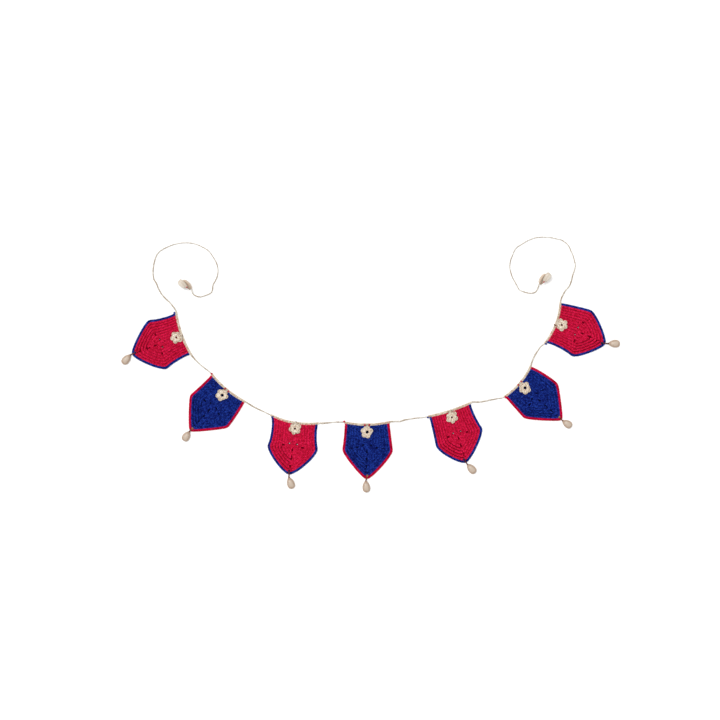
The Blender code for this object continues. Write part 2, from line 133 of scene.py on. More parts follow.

# %% [markdown]
# ## Cotton yarn
# The yarn is soft mercerised cotton, plied from a few threads. Each strand we build
# carries a UV map: one way runs along the strand, the other goes round it. A slanting
# sine of the two gives the twist of the plies as a bump, and the colour is painted
# darker in the grooves between plies: painted shade. Noise in the object's own space
# makes the dye a little uneven, as it is from one stitch to the next. Strands that lie
# low between their neighbours are painted darker too: painted shade, where less light
# reaches. Sheen stands for the short fibres that catch the light at the strand's edges.

# %% Nodes of a material
def node(tree, kind, *inputs, **settings):
    """A new node; each input in turn is a value, another node's output, or None."""
    made = tree.nodes.new(kind)
    for key, value in settings.items():
        setattr(made, key, value)
    for socket, value in zip(made.inputs, inputs):
        if isinstance(value, bpy.types.NodeSocket):
            tree.links.new(value, socket)
        elif value is not None:
            socket.default_value = value
    return made


def maths(tree, operation, *inputs):
    return node(tree, "ShaderNodeMath", *inputs, operation=operation).outputs[0]


def noise(tree, spot, scale, detail):
    return node(tree, "ShaderNodeTexNoise", spot, None, scale, detail).outputs[0]


def ramp(tree, value, *stops):
    """The colour that value picks between stops, each a position and a colour."""
    made = node(tree, "ShaderNodeValToRGB", value)
    points = made.color_ramp.elements
    for number, (position, colour) in ((0, stops[0]), (1, stops[-1])):
        points[number].position = position
        points[number].color = (*colour, 1.0)
    for position, colour in stops[1:-1]:
        points.new(position).color = (*colour, 1.0)
    return made.outputs["Color"]


def add_bump(tree, shader, height, strength, distance):
    bump = node(tree, "ShaderNodeBump", strength, distance)
    tree.links.new(height, bump.inputs["Height"])
    tree.links.new(bump.outputs["Normal"], shader.inputs["Normal"])


print("helpers:", [helper.__name__ for helper in (node, maths, noise, ramp, add_bump)])

# %% Yarn material
PLY_LENGTH = 0.0042
PLIES = 3
FINE_SCALE = 380.0
GROOVE_SHADE = 0.70
PLY_DEPTH = 0.00025


def yarn(name, dark, middle, light, low=0.0016, high=0.0034, shade_share=0.30, broad_scale=95.0):
    """Cotton with painted shade: its colour falls from full at the height high to a share of it at the
    height low.
    """
    material, tree, shader = new_material(name, {
        "Roughness": 0.86, "Specular IOR Level": 0.05,
        "Sheen Weight": 0.05, "Sheen Roughness": 0.4, "Sheen Tint": (*light, 1.0),
    })
    spot = node(tree, "ShaderNodeTexCoord").outputs
    broad = noise(tree, spot["Object"], broad_scale, 2.0)
    fine = noise(tree, spot["Object"], FINE_SCALE, 1.0)
    both = maths(tree, "ADD", broad, fine)
    half = maths(tree, "MULTIPLY", both, 0.5)
    dye = ramp(tree, half, (0.40, dark), (0.50, middle), (0.62, light))
    slope = (math.tau / PLY_LENGTH, math.tau * PLIES, 0.0)
    slant = node(tree, "ShaderNodeVectorMath", spot["UV"], slope, operation="DOT_PRODUCT")
    twist = maths(tree, "SINE", slant.outputs["Value"])
    # Painted shade: the colour darkens in the grooves between the plies
    groove = node(tree, "ShaderNodeMapRange", twist, -1.0, 0.0, GROOVE_SHADE, 1.0)
    # Painted shade: the colour darkens as a strand lies lower, from the height high down to low
    parts = node(tree, "ShaderNodeSeparateXYZ", spot["Object"])
    depth = node(tree, "ShaderNodeMapRange", parts.outputs["Z"], low, high, shade_share, 1.0)
    shade = maths(tree, "MULTIPLY", groove.outputs[0], depth.outputs[0])
    tint = node(tree, "ShaderNodeVectorMath", dye, operation="SCALE")
    tree.links.new(shade, tint.inputs["Scale"])
    tree.links.new(tint.outputs[0], shader.inputs["Base Color"])
    add_bump(tree, shader, twist, 0.6, PLY_DEPTH)
    return material


CRIMSON = ((0.46, 0.0035, 0.028), (0.67, 0.0075, 0.049), (0.84, 0.0150, 0.096))
ROYAL = ((0.0022, 0.0058, 0.092), (0.0060, 0.0182, 0.200), (0.0175, 0.058, 0.385))
CREAM = ((0.54, 0.37, 0.26), (0.71, 0.60, 0.46), (0.83, 0.755, 0.645))
FLOWER_CREAM = ((0.46, 0.31, 0.22), (0.72, 0.61, 0.48), (0.92, 0.86, 0.75))
DEEP_CRIMSON = ((0.37, 0.0006, 0.018), (0.54, 0.0016, 0.034), (0.69, 0.0050, 0.068))
CORD_CREAM = ((0.42, 0.32, 0.225), (0.60, 0.53, 0.44), (0.80, 0.77, 0.71))
YARNS = {
    "red": yarn("crimson_cotton", *CRIMSON, shade_share=0.40, broad_scale=190.0),
    "blue": yarn("royal_blue_cotton", *ROYAL, shade_share=0.25, broad_scale=190.0),
    "red_border": yarn("crimson_border_cotton", *DEEP_CRIMSON, shade_share=0.6),
    "blue_border": yarn("royal_blue_border_cotton", *ROYAL, shade_share=0.6),
    "cream": yarn("cream_cotton", *CREAM, shade_share=0.7),
    "flower": yarn(
        "cream_flower_cotton", *FLOWER_CREAM, low=0.0052, high=0.0076, shade_share=0.45, broad_scale=300.0
    ),
    "cord": yarn("cream_cord_cotton", *CORD_CREAM, low=0.0006, high=0.0030, shade_share=0.8, broad_scale=45.0),
    "tan": yarn("tan_thread", (0.185, 0.092, 0.046), (0.28, 0.154, 0.085), (0.40, 0.246, 0.139)),
    "teal": yarn("dark_teal_thread", (0.0015, 0.011, 0.031), (0.003, 0.018, 0.058), (0.009, 0.037, 0.095)),
    "brown": yarn("brown_thread", (0.09, 0.020, 0.010), (0.15, 0.038, 0.020), (0.22, 0.07, 0.04)),
}
# Painted shade: each ground is a dark shade of its yarn's colour, which stands for the shaded yarn behind
# the front strands
SHADED_GROUND_COLOURS = {
    "red": ("crimson_shaded_ground", (0.115, 0.0006, 0.006)),
    "blue": ("royal_blue_shaded_ground", (0.0012, 0.0020, 0.018)),
    "red_border": ("crimson_border_shaded_ground", (0.26, 0.0009, 0.012)),
    "blue_border": ("royal_blue_border_shaded_ground", (0.002, 0.008, 0.085)),
    "cream": ("cream_shaded_ground", (0.47, 0.36, 0.255)),
}
SHADED_GROUNDS = {key: plain_material(*values, 0.95, 0.02) for key, values in SHADED_GROUND_COLOURS.items()}
print("yarns:", list(YARNS))

# %% [markdown]
# ## Strands
# Every piece of yarn here is a short round strand that follows a few points. One mesh
# holds all strands of one piece. numpy works out the rings for all of them at once,
# which is much quicker than a loop over Blender curves. Each end gets a cap, because
# a strand dives under its neighbour and its end must not be open.

# %% Strands into a mesh
UP = np.array([0.0, 0.0, 1.0])
EAST = np.array([1.0, 0.0, 0.0])


def rings_round(paths, radii, sides):
    """Rings of points round paths (count, steps, 3), with radii (count, steps)."""
    ahead = np.gradient(paths, axis=1)
    ahead /= np.maximum(np.linalg.norm(ahead, axis=2, keepdims=True), 1e-9)
    side = np.cross(ahead, UP)
    reach = np.linalg.norm(side, axis=2, keepdims=True)
    side = np.where(reach > 0.02, side / np.maximum(reach, 1e-9), EAST)
    top = np.cross(side, ahead)
    turn = np.arange(sides) * math.tau / sides
    ring = side[:, :, None] * np.cos(turn)[:, None] + top[:, :, None] * np.sin(turn)[:, None]
    return paths[:, :, None] + ring * radii[:, :, None, None]


def strand_faces(count, steps, sides, first):
    """Side faces and end caps of count strands whose points start at first."""
    start = first + np.arange(count)[:, None, None] * steps * sides
    ring = start + np.arange(steps - 1)[None, :, None] * sides
    here = np.arange(sides)[None, None]
    after = (here + 1) % sides
    quads = np.stack([ring + here, ring + after, ring + sides + after, ring + sides + here], axis=-1)
    near = start[:, 0] + np.arange(sides)[::-1]
    far = start[:, 0] + (steps - 1) * sides + np.arange(sides)
    return quads.reshape(-1, 4), np.concatenate([near, far])


def strand_uvs(paths, sides):
    """UV of each side face's corners: metres along the strand, and turns round it."""
    count, steps, _ = paths.shape
    step = np.linalg.norm(np.diff(paths, axis=1), axis=2)
    along = np.concatenate([np.zeros((count, 1)), np.cumsum(step, axis=1)], axis=1)
    low = np.broadcast_to(along[:, :-1, None], (count, steps - 1, sides))
    high = np.broadcast_to(along[:, 1:, None], (count, steps - 1, sides))
    left = np.broadcast_to(np.arange(sides) / sides, low.shape)
    right = left + 1 / sides
    corners = [(low, left), (low, right), (high, right), (high, left)]
    return np.stack([np.stack(corner, axis=-1) for corner in corners], axis=3).reshape(-1, 2)


# %% Bundles of strands into one object
def strand_piece(name, bundles, material, sides=5):
    """One object from bundles of strands, each a pair of paths and radii."""
    points, faces, caps, uvs = [], [], [], []
    first = 0
    for paths, radii in bundles:
        ring_points = rings_round(paths, radii, sides).reshape(-1, 3)
        quads, ends = strand_faces(paths.shape[0], paths.shape[1], sides, first)
        points.append(ring_points)
        faces.append(quads)
        caps.append(ends)
        uvs.append(strand_uvs(paths, sides))
        first += len(ring_points)
    mesh = bpy.data.meshes.new(name)
    quads = np.concatenate(faces)
    ends = np.concatenate(caps)
    mesh.from_pydata(np.concatenate(points).tolist(), [], quads.tolist() + ends.tolist())
    uv = np.zeros((len(mesh.loops), 2))
    side_uvs = np.concatenate(uvs)
    uv[:len(side_uvs)] = side_uvs
    mesh.uv_layers.new(name="yarn").data.foreach_set("uv", uv.ravel())
    mesh.materials.append(material)
    mesh.shade_smooth()
    item = add(name, mesh)
    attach(item, "root")
    item["triangles"] = 2 * len(quads) + (sides - 2) * len(ends)
    return item


print("a strand of 4 rings has", 2 * 5 * 3 + 2 * 3, "triangles")

# %% [markdown]
# ## One stitch
# A stitch is a post and, at its top, a link of the chain that runs along the row. From
# the front we see the two legs of the post and the front loop of the link. A mould is a
# list of points on one strand: how far across the stitch, how far up the row, how high,
# and how thick. A smooth curve through them bends the strand softly, as yarn does. The
# lower and the further up a post's feet begin, the wider the groove between two rows.
# `stitched` presses a mould along a row between two lines, once for each stitch.

# %% Moulds of a stitch
YARN = 0.00095
STITCH = 0.0042


def between(before, start, end, after, t):
    """Points from start to end on the smooth curve through four points."""
    return 0.5 * (
        2 * start
        + (end - before) * t
        + (2 * before - 5 * start + 4 * end - after) * t ** 2
        + (3 * start - before - 3 * end + after) * t ** 3
    )


def soft(steps, *points):
    """A strand's mould: steps points on the smooth curve through a few points."""
    points = np.array(points)
    ends = np.concatenate([2 * points[:1] - points[1:2], points, 2 * points[-1:] - points[-2:-1]])
    place = np.linspace(0, len(points) - 1, steps)
    first = np.minimum(place.astype(int), len(points) - 2)
    return between(*(ends[first + shift] for shift in range(4)), (place - first)[:, None])


LINK = [
    soft(5, (-0.62, 0.84, 0.0019, 0.75), (-0.15, 0.86, 0.00278, 1.1),
         (0.30, 0.93, 0.00270, 1.05), (0.66, 0.90, 0.0019, 0.75)),
]


def post(foot_up, foot_height):
    """The two legs of a post whose feet lie at a share of the row and at a height."""
    return [
        soft(6, (-0.05, foot_up, foot_height, 0.8), (-0.24, 0.34, 0.00265, 1.0),
             (-0.28, 0.62, 0.00280, 1.08), (-0.20, 0.88, 0.0025, 0.9)),
        soft(6, (0.10, foot_up, foot_height, 0.8), (0.20, 0.34, 0.00278, 1.0),
             (0.21, 0.62, 0.00270, 1.08), (0.28, 0.88, 0.0025, 0.9)),
    ]


SOFT_ROW = post(-0.08, 0.0024) + LINK
PLAIN_ROW = post(-0.03, 0.0021) + LINK
GROOVED_ROW = post(0.15, 0.0012) + LINK
JOINED_ROW = post(-0.12, 0.0030) + LINK
rng = np.random.default_rng(7)
print("strands in a stitch:", len(PLAIN_ROW))

# %% Press a mould along a row
THICKNESS_SPREAD = 0.05
FLAT_JITTER = (1, 1, 0.5)


def lengths_along(line):
    step = np.linalg.norm(np.diff(line, axis=0), axis=1)
    return np.concatenate([[0.0], np.cumsum(step)])


def on_line(line, place):
    """Points of a line at places counted in its own points."""
    spots = np.arange(len(line))
    return np.stack([np.interp(place, spots, line[:, axis]) for axis in range(3)], axis=-1)


def stitched(inner, outer, moulds, pitch=STITCH, yarn_radius=YARN, jitter=0.00016, closed=False):
    """Bundles of strands, one for each mould, along the row between two lines."""
    middle = (inner + outer) / 2
    lengths = lengths_along(middle)
    count = max(1, round(lengths[-1] / pitch))
    pitch = lengths[-1] / count
    centre = (np.arange(count) + 0.5) * pitch
    bundles = []
    for mould in moulds:
        across, up, height, thick = mould.T
        spot = centre[:, None] + across * pitch
        spot = spot % lengths[-1] if closed else np.clip(spot, 0, lengths[-1])
        place = np.interp(spot, lengths, np.arange(len(middle)))
        base = on_line(inner, place)
        paths = base + (on_line(outer, place) - base) * up[None, :, None]
        paths[:, :, 2] += height
        paths += rng.normal(0, jitter, paths.shape) * FLAT_JITTER
        radii = np.broadcast_to(thick, paths.shape[:2]) * yarn_radius
        radii = radii * rng.normal(1, THICKNESS_SPREAD, (count, 1))
        bundles.append((paths, radii))
    return bundles


print("stitches in 10 cm:", round(0.1 / STITCH))

# %% [markdown]
# ## The cord
# A crocheted chain is a row of links, each drawn through the one before. From above it
# reads as a plait of two slanting legs, and the bump of each link lies below. The
# route of each stretch comes from a few points on the table, with a smooth curve
# through them. The cord lies flat, apart from the last centimetres of each tail, which
# rise to the pair of shells. It was pulled tighter in some stretches than in others, so
# we also say how its thickness changes along the way.

# %% Where the flags lie
PLACES = {
    "flag_1": ("red", -0.574, 0.196, -70.6),
    "flag_2": ("blue", -0.437, 0.029, -39.4),
    "flag_3": ("red", -0.234, -0.067, -9.7),
    "flag_4": ("blue", -0.012, -0.076, 0.5),
    "flag_5": ("red", 0.241, -0.037, 17.9),
    "flag_6": ("blue", 0.449, 0.049, 49.5),
    "flag_7": ("red", 0.557, 0.229, 69.2),
}
TOPS = {
    "flag_1": (0.137, 0.0070),
    "flag_2": (0.132, 0.0065),
    "flag_3": (0.146, 0.0100),
    "flag_4": (0.137, 0.0070),
    "flag_5": (0.134, 0.0040),
    "flag_6": (0.123, 0.0085),
    "flag_7": (0.131, 0.0100),
}
GAP = 0.0003
BAND_WIDTH = 0.0068
BORDER_WIDTH = 0.0070


def placed(name, points):
    """Points in a flag's own frame, carried to its place in the swag."""
    _, x, y, turn = PLACES[name]
    turn = math.radians(turn)
    spin = np.array([[math.cos(turn), -math.sin(turn), 0], [math.sin(turn), math.cos(turn), 0], [0, 0, 1]])
    return points @ spin.T + np.array([x, y, 0.0])


def sag_line(name, reach, steps):
    """The top edge from -reach to reach: it sags most at its middle."""
    top, sag = TOPS[name]
    x = np.linspace(-reach, reach, steps + 1)
    return np.stack([x, -sag * (1 - (2 * x / top) ** 2), 0 * x], axis=1)


print("flags:", len(PLACES))

# %% Routes of the cord
CORD_WIDTH = 0.0048
CORD_LEAD = 0.0050
TAIL_END_RISE = 0.0051
TAIL_RISE_LENGTH = 0.030
ROUTE_STEP = 0.0015
LINKS = [
    [(-0.536, 0.113), (-0.519, 0.097), (-0.502, 0.084)],
    [(-0.361, -0.028), (-0.341, -0.038), (-0.322, -0.047)],
    [(-0.145, -0.0790), (-0.126, -0.0770), (-0.105, -0.0755)],
    [(0.075, -0.0735), (0.090, -0.0735), (0.103, -0.069), (0.133, -0.064), (0.160, -0.0615)],
    [(0.332, -0.014), (0.360, -0.009), (0.385, -0.004)],
    [(0.492, 0.106), (0.501, 0.127), (0.512, 0.145), (0.521, 0.157)],
]
LEFT_TAIL = [
    (-0.615, 0.289), (-0.630, 0.303), (-0.642, 0.317), (-0.653, 0.337), (-0.658, 0.350), (-0.666, 0.364),
    (-0.668, 0.387), (-0.665, 0.410), (-0.659, 0.431), (-0.648, 0.447), (-0.624, 0.461), (-0.595, 0.471),
    (-0.569, 0.474), (-0.542, 0.471), (-0.519, 0.462), (-0.498, 0.449), (-0.484, 0.430), (-0.473, 0.410),
    (-0.469, 0.387), (-0.473, 0.366), (-0.484, 0.345), (-0.486, 0.330), (-0.491, 0.320), (-0.506, 0.313),
    (-0.524, 0.308), (-0.539, 0.312), (-0.547, 0.320),
]
RIGHT_TAIL = [
    (0.586, 0.310), (0.596, 0.328), (0.608, 0.342), (0.614, 0.358), (0.618, 0.375), (0.624, 0.392),
    (0.626, 0.405), (0.624, 0.416), (0.619, 0.434), (0.613, 0.448), (0.605, 0.465), (0.595, 0.475),
    (0.584, 0.482), (0.572, 0.485), (0.555, 0.489), (0.536, 0.491), (0.520, 0.491), (0.503, 0.489),
    (0.489, 0.484), (0.474, 0.477), (0.458, 0.467), (0.446, 0.459), (0.438, 0.447), (0.432, 0.432),
    (0.427, 0.418), (0.425, 0.398), (0.429, 0.380), (0.434, 0.366), (0.441, 0.354), (0.448, 0.340),
    (0.454, 0.330), (0.464, 0.325), (0.476, 0.321), (0.489, 0.319), (0.500, 0.321), (0.508, 0.328),
]


def beyond_end(name, right_end, distance):
    """A point on the table a little beyond one end of a flag's band."""
    top, _ = TOPS[name]
    line = sag_line(name, top / 2 - BORDER_WIDTH / 2, 5)
    corner = np.array([top / 2, 0, 0])
    end, before = (corner, line[-1]) if right_end else (-corner, line[0])
    way = (end - before) / np.linalg.norm(end - before)
    return placed(name, (end + way * distance)[None])[0]


def smooth_curve(controls, steps=12):
    """A smooth curve through all but the first and the last control."""
    controls = np.array([(*point[:2], 0.0) for point in controls])
    t = (np.arange(steps) / steps)[:, None]
    parts = []
    for before, start, end, after in zip(controls, controls[1:], controls[2:], controls[3:]):
        parts.append(between(before, start, end, after, t))
    return np.concatenate(parts + [controls[-2:-1]])


print("points of the left tail:", len(LEFT_TAIL))

# %% Lay the lines of the cord
def even_line(line, step):
    """The same line with points at even steps."""
    lengths = lengths_along(line)
    count = max(2, round(lengths[-1] / step))
    place = np.interp(np.linspace(0, lengths[-1], count + 1), lengths, np.arange(len(line)))
    return on_line(line, place)


def aside(line, distance):
    """A line moved sideways, to its right when the distance is positive."""
    way = np.gradient(line, axis=0)
    way /= np.maximum(np.linalg.norm(way[:, :2], axis=1, keepdims=True), 1e-9)
    return line + np.stack([way[:, 1], -way[:, 0], 0 * way[:, 0]], axis=1) * distance


def rise_at_end(line, rise):
    """Lifts a flat line to half a cord's width, and its far end by rise more."""
    lengths = lengths_along(line)
    climb = np.clip(1 - (lengths[-1] - lengths) / TAIL_RISE_LENGTH, 0, 1)
    lifted = line.copy()
    lifted[:, 2] = CORD_WIDTH / 2 + rise * climb ** 2 * (3 - 2 * climb)
    return lifted


def route_from(start_flag, right_end, points, end_points, rise=0.0):
    """A cord's line on the table; a tail's far end rises, and a link's is at a flag."""
    start = [beyond_end(start_flag, right_end, GAP), beyond_end(start_flag, right_end, GAP + CORD_LEAD)]
    line = [start[:1], smooth_curve(start + points + end_points)]
    if rise == 0:
        line.append(end_points[1:])
    return rise_at_end(even_line(np.concatenate(line), ROUTE_STEP), rise)


ROUTES = {}
names = list(PLACES)
for number, points in enumerate(LINKS):
    far = names[number + 1]
    end = [beyond_end(far, False, GAP + CORD_LEAD), beyond_end(far, False, GAP)]
    route = route_from(names[number], True, points, end)
    ROUTES[f"link_{number + 1}"] = route
for name, route in ROUTES.items():
    print(name, "length in mm:", round(1000 * lengths_along(route)[-1]))

# %% Where the tails end
CLUSTERS = {"left": (-0.5520, 0.3305, 137, -1), "right": (0.5180, 0.3455, 50, 1)}
SHELL_HEIGHT = 0.0130
SHELL_WIDEST = 0.28


def cluster_neck(side):
    """The end of a tail, and the direction in which its shells point."""
    x, y, turn, near_side = CLUSTERS[side]
    way = np.array([math.cos(math.radians(turn)), math.sin(math.radians(turn)), 0.0])
    across = np.array([-way[1], way[0], 0.0]) * near_side * SHELL_WIDEST * SHELL_HEIGHT
    return np.array([x, y, 0.0]) + across, way


TAILS = [("left", "flag_1", False, LEFT_TAIL), ("right", "flag_7", True, RIGHT_TAIL)]
for side, flag, right_end, points in TAILS:
    neck, way = cluster_neck(side)
    end = [neck - way * GAP, neck + way * CORD_LEAD]
    ROUTES[f"tail_{side}"] = route_from(flag, right_end, points, end, TAIL_END_RISE)
    print("tail", side, "length in mm:", round(1000 * lengths_along(ROUTES[f"tail_{side}"])[-1]))

# %% Chain stitches along the cord
CHAIN_PITCH = 0.0044
CHAIN_JITTER = 0.00012


def chain_leg(near_middle, near_edge):
    """One slanting leg of a chain link, from near the cord's middle out and back."""
    inner, outer = near_middle
    low, high = near_edge
    return soft(7, (-0.55, inner, -0.0006, 0.7), (-0.20, low, 0.0005, 1.05),
                (0.25, high, 0.0008, 1.15), (0.70, outer, 0.0001, 0.8))


CHAIN = [
    chain_leg((0.46, 0.42), (0.28, 0.25)),
    chain_leg((0.54, 0.58), (0.72, 0.75)),
    soft(5, (-0.50, 0.50, -0.0004, 0.8), (0.00, 0.50, -0.0013, 1.05), (0.50, 0.50, -0.0004, 0.8)),
]
# Places along a cord, as shares of its length, and its thickness there
THINNING = {
    "link": ((0.0, 0.35, 1.0), (1.12, 1.08, 0.64)),
    "tail": ((0.0, 0.15, 0.40, 0.60, 0.90, 1.0), (1.0, 0.90, 0.66, 0.60, 0.78, 0.85)),
}
for name, route in ROUTES.items():
    thinning = THINNING[name[:4]]
    half = CORD_WIDTH / 2 * np.interp(np.linspace(0, 1, len(route)), *thinning)[:, None]
    bundles = stitched(aside(route, half), aside(route, -half), CHAIN, CHAIN_PITCH, jitter=CHAIN_JITTER)
    for _, radii in bundles:
        radii *= np.interp(np.linspace(0, 1, len(radii)), *thinning)[:, None]
    cord = strand_piece(f"chain_{name}", bundles, YARNS["cord"], sides=6)
    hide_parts(f"cord_{name}")

# %% [markdown]
# ## The shape of a flag
# Each flag is worked outwards in U-shaped rows: down one side, round the two lower
# edges and up the other side. More stitches go into each corner, and the holes there
# are the eyelets we see. So a row is the flag's own edge, drawn in towards the middle
# line. We make the edge with a little bow on each side, as a soft flag has, and we
# ease its corners, because yarn can't turn on a point.

# %% Corners and bows of the flags
# Each flag's right corner, tip and left corner, and the middle of its rows
LOWER = {
    "flag_1": ((0.083, -0.086), (0.007, -0.167), (-0.072, -0.087), (0.0055, -0.083)),
    "flag_2": ((0.073, -0.095), (-0.007, -0.173), (-0.074, -0.091), (-0.0015, -0.079)),
    "flag_3": ((0.083, -0.081), (0.011, -0.166), (-0.066, -0.094), (0.0090, -0.083)),
    "flag_4": ((0.075, -0.089), (-0.003, -0.171), (-0.074, -0.085), (-0.0010, -0.078)),
    "flag_5": ((0.075, -0.086), (-0.003, -0.1665), (-0.072, -0.096), (-0.0005, -0.081)),
    "flag_6": ((0.072, -0.098), (-0.001, -0.176), (-0.070, -0.088), (-0.0005, -0.076)),
    "flag_7": ((0.075, -0.097), (-0.003, -0.170), (-0.073, -0.093), (0.0020, -0.085)),
}
# How far each side bows outwards: right side, two lower edges, left side
BOWS = {
    "flag_1": (-0.0046, 0.0080, 0.0058, -0.0050),
    "flag_2": (0.0020, 0.0020, 0.0025, -0.0015),
    "flag_3": (-0.0040, 0.0092, 0.0082, -0.0065),
    "flag_4": (0.0000, 0.0064, 0.0050, -0.0015),
    "flag_5": (-0.0040, 0.0075, 0.0085, -0.0010),
    "flag_6": (0.0040, 0.0020, 0.0030, 0.0000),
    "flag_7": (0.0010, 0.0070, 0.0065, -0.0050),
}
BOW_POWER = 2.6
SIDE_STEPS = 24
TIP_DROP = 0.0026
SAG_STEPS = 60


def flat(point):
    return np.array([point[0], point[1], 0.0])


def bowed_side(start, end, bow):
    """Points from start to just before end, bowed to the left of the way."""
    share = (np.arange(SIDE_STEPS) / SIDE_STEPS)[:, None]
    way = (end - start) / np.linalg.norm(end - start)
    outward = np.array([-way[1], way[0], 0.0])
    return start + (end - start) * share + outward * bow * (1 - np.abs(2 * share - 1) ** BOW_POWER)


def border_line(name):
    """The middle of the border, from the band's right end round the tip to its left end."""
    top = sag_line(name, TOPS[name][0] / 2 - BORDER_WIDTH / 2, 2)
    right, tip, left = (flat(point) for point in LOWER[name][:3])
    corners = [top[-1], right, tip - (0, TIP_DROP, 0), left, top[0]]
    sides = [bowed_side(start, end, bow) for start, end, bow in zip(corners, corners[1:], BOWS[name])]
    return np.concatenate(sides + [top[:1]])


print("points of a border line:", len(border_line("flag_1")))

# %% Ease the corners and step inwards
CORNER_EASE = 0.0060
TIP_EASE = 0.0090


def eased(line):
    """The line with its corners rounded, the tip's most; its ends stay."""
    lengths = lengths_along(line)
    spots = np.arange(len(line))
    total = 0
    shifts = (-1.0, -0.5, 0.0, 0.5, 1.0)
    reach = np.where(np.abs(spots - 2 * SIDE_STEPS) < SIDE_STEPS / 2, TIP_EASE, CORNER_EASE)
    room = np.minimum(np.minimum(lengths, lengths[-1] - lengths), reach)
    for shift in shifts:
        total = total + on_line(line, np.interp(lengths + shift * room, lengths, spots))
    return total / len(shifts)


def inset(line, distance):
    """A clockwise line moved inwards, mitred at its corners."""
    way = np.diff(line, axis=0)
    way /= np.linalg.norm(way, axis=1, keepdims=True)
    inward = np.stack([way[:, 1], -way[:, 0], 0 * way[:, 0]], axis=1)
    before = np.concatenate([inward[:1], inward])
    after = np.concatenate([inward, inward[-1:]])
    lean = 1 + np.sum(before * after, axis=1, keepdims=True)
    return line + (before + after) / lean * distance


def top_cut(name, line, depth):
    """The line with its two ends moved onto the top edge, lowered by depth."""
    top = sag_line(name, TOPS[name][0] / 2, SAG_STEPS)
    cut = line.copy()
    for end in (0, -1):
        cut[end, 1] = np.interp(cut[end, 0], top[:, 0], top[:, 1]) - depth
    return cut


def row_lines(name, rows):
    """The lines between rows, from the middle line out to the panel's edge."""
    edge = top_cut(name, inset(border_line(name), BORDER_WIDTH / 2 + GAP), BAND_WIDTH / 2 + GAP)
    head = top_cut(name, np.zeros((2, 3)), BAND_WIDTH / 2 + GAP)[0]
    middle = flat(LOWER[name][3])
    steps = np.arange(len(edge))
    below_top = np.minimum(np.minimum(steps, steps[::-1]) / SIDE_STEPS, 1)[:, None]
    foot = head + (middle - head) * below_top
    lines = [foot + (edge - foot) * share for share in np.linspace(0, 1, rows + 1)]
    return [top_cut(name, eased(line), BAND_WIDTH / 2 + GAP) for line in lines]


ROWS = 8
print("rows in a panel:", ROWS)

# %% [markdown]
# ## Eyelets
# Where the yarn turns a corner it leaves a small hole. We push every strand that would
# cross a hole to its rim, which is what the yarn does. Only the two holes next to the
# middle of a crimson flag go right through, so the table shows there as a grey dot. The
# others are pits that end on the dark ground behind, whose colour is painted shade. There
# is one more under each flower, where the needle went in, so the flower's own hole shows
# that painted shade.

# %% Places of the eyelets
# The middle of each flower, in its flag's own frame
FLOWERS = {
    "flag_1": (0.004, -0.025),
    "flag_2": (0.000, -0.029),
    "flag_3": (0.006, -0.028),
    "flag_4": (0.000, -0.030),
    "flag_5": (-0.001, -0.025),
    "flag_6": (0.000, -0.030),
    "flag_7": (0.003, -0.028),
}
# Across and down from the middle of the rows, and the radius
EYELETS = [
    (-0.012, -0.008, 0.0031), (0.012, -0.008, 0.0031), (0.000, 0.012, 0.0031),
    (-0.031, -0.001, 0.0031), (0.031, 0.000, 0.0031), (0.000, 0.037, 0.0031),
    (0.000, 0.060, 0.0028), (-0.050, 0.003, 0.0016), (0.052, 0.002, 0.0016),
]
USUAL_EYELETS = 7
FLAG_EYELETS = {"flag_4": 9}
EYELET_SHARE = {"red": 1.0, "blue": 0.84}
OPEN_EYELETS = {"red": 2, "blue": 0}
OPEN_RADIUS = 0.0015
FLOWER_PIT = {"red": 0.0028, "blue": 0.0042}
FINE_STEPS = 13


def eyelet_centres(name):
    """The eyelets of a flag, each with its radius in place of its height."""
    middle, tip = flat(LOWER[name][3]), flat(LOWER[name][1])
    down = (tip - middle) / np.linalg.norm(tip - middle)
    across = np.array([-down[1], down[0], 0.0])
    shown = EYELETS[:FLAG_EYELETS.get(name, USUAL_EYELETS)]
    colour = PLACES[name][0]
    share = EYELET_SHARE[colour]
    holes = [middle + across * x + down * y + UP * radius * share for x, y, radius in shown]
    return holes + [flat(FLOWERS[name]) + UP * FLOWER_PIT[colour]]


def round_eyelets(bundles, centres):
    """Moves every strand that would cross an eyelet out to its rim."""
    for paths, _ in bundles:
        steps = paths.shape[1]
        fine = np.linspace(0, steps - 1, FINE_STEPS)
        low = np.minimum(fine.astype(int), steps - 2)
        share = (fine - low)[None, :, None]
        spots = (paths[:, low] * (1 - share) + paths[:, low + 1] * share)[:, :, :2]
        for centre in centres:
            offset = spots - centre[:2]
            distance = np.linalg.norm(offset, axis=2)
            nearest = distance.argmin(axis=1)
            strand = np.arange(len(paths))
            gap = distance[strand, nearest][:, None]
            clear = centre[2] + YARN
            move = offset[strand, nearest] / np.maximum(gap, 1e-6) * np.maximum(clear - gap, 0)
            paths[:, :, :2] += move[:, None]
            spots = spots + move[:, None]
    return bundles


print("eyelets in all:", sum(len(eyelet_centres(name)) for name in PLACES))

# %% [markdown]
# ## The ground of a panel
# Behind the front strands the cloth is a mass of yarn that lies too low to see strand by
# strand. A sheet with its true flat size stands for it, coloured a dark shade of the yarn:
# painted shade, as little light gets down to it. It is filled between its outline and its
# eyelets, and then given a thickness. The border, the band and the flowers have such a
# ground too. Theirs is a strip between two lines, which is simpler to make.

# %% Ground sheet
GROUND_BOTTOM = 0.0001
GROUND_TOP = 0.0016
HOLE_SIDES = 12


def closed_outline(name):
    """The panel's outline: its edge, and the top edge under the band."""
    edge = row_lines(name, 1)[-1]
    top = sag_line(name, TOPS[name][0] / 2 - BORDER_WIDTH, SAG_STEPS // 2)[1:-1]
    top[:, 1] -= BAND_WIDTH / 2 + GAP
    return np.concatenate([edge, top])


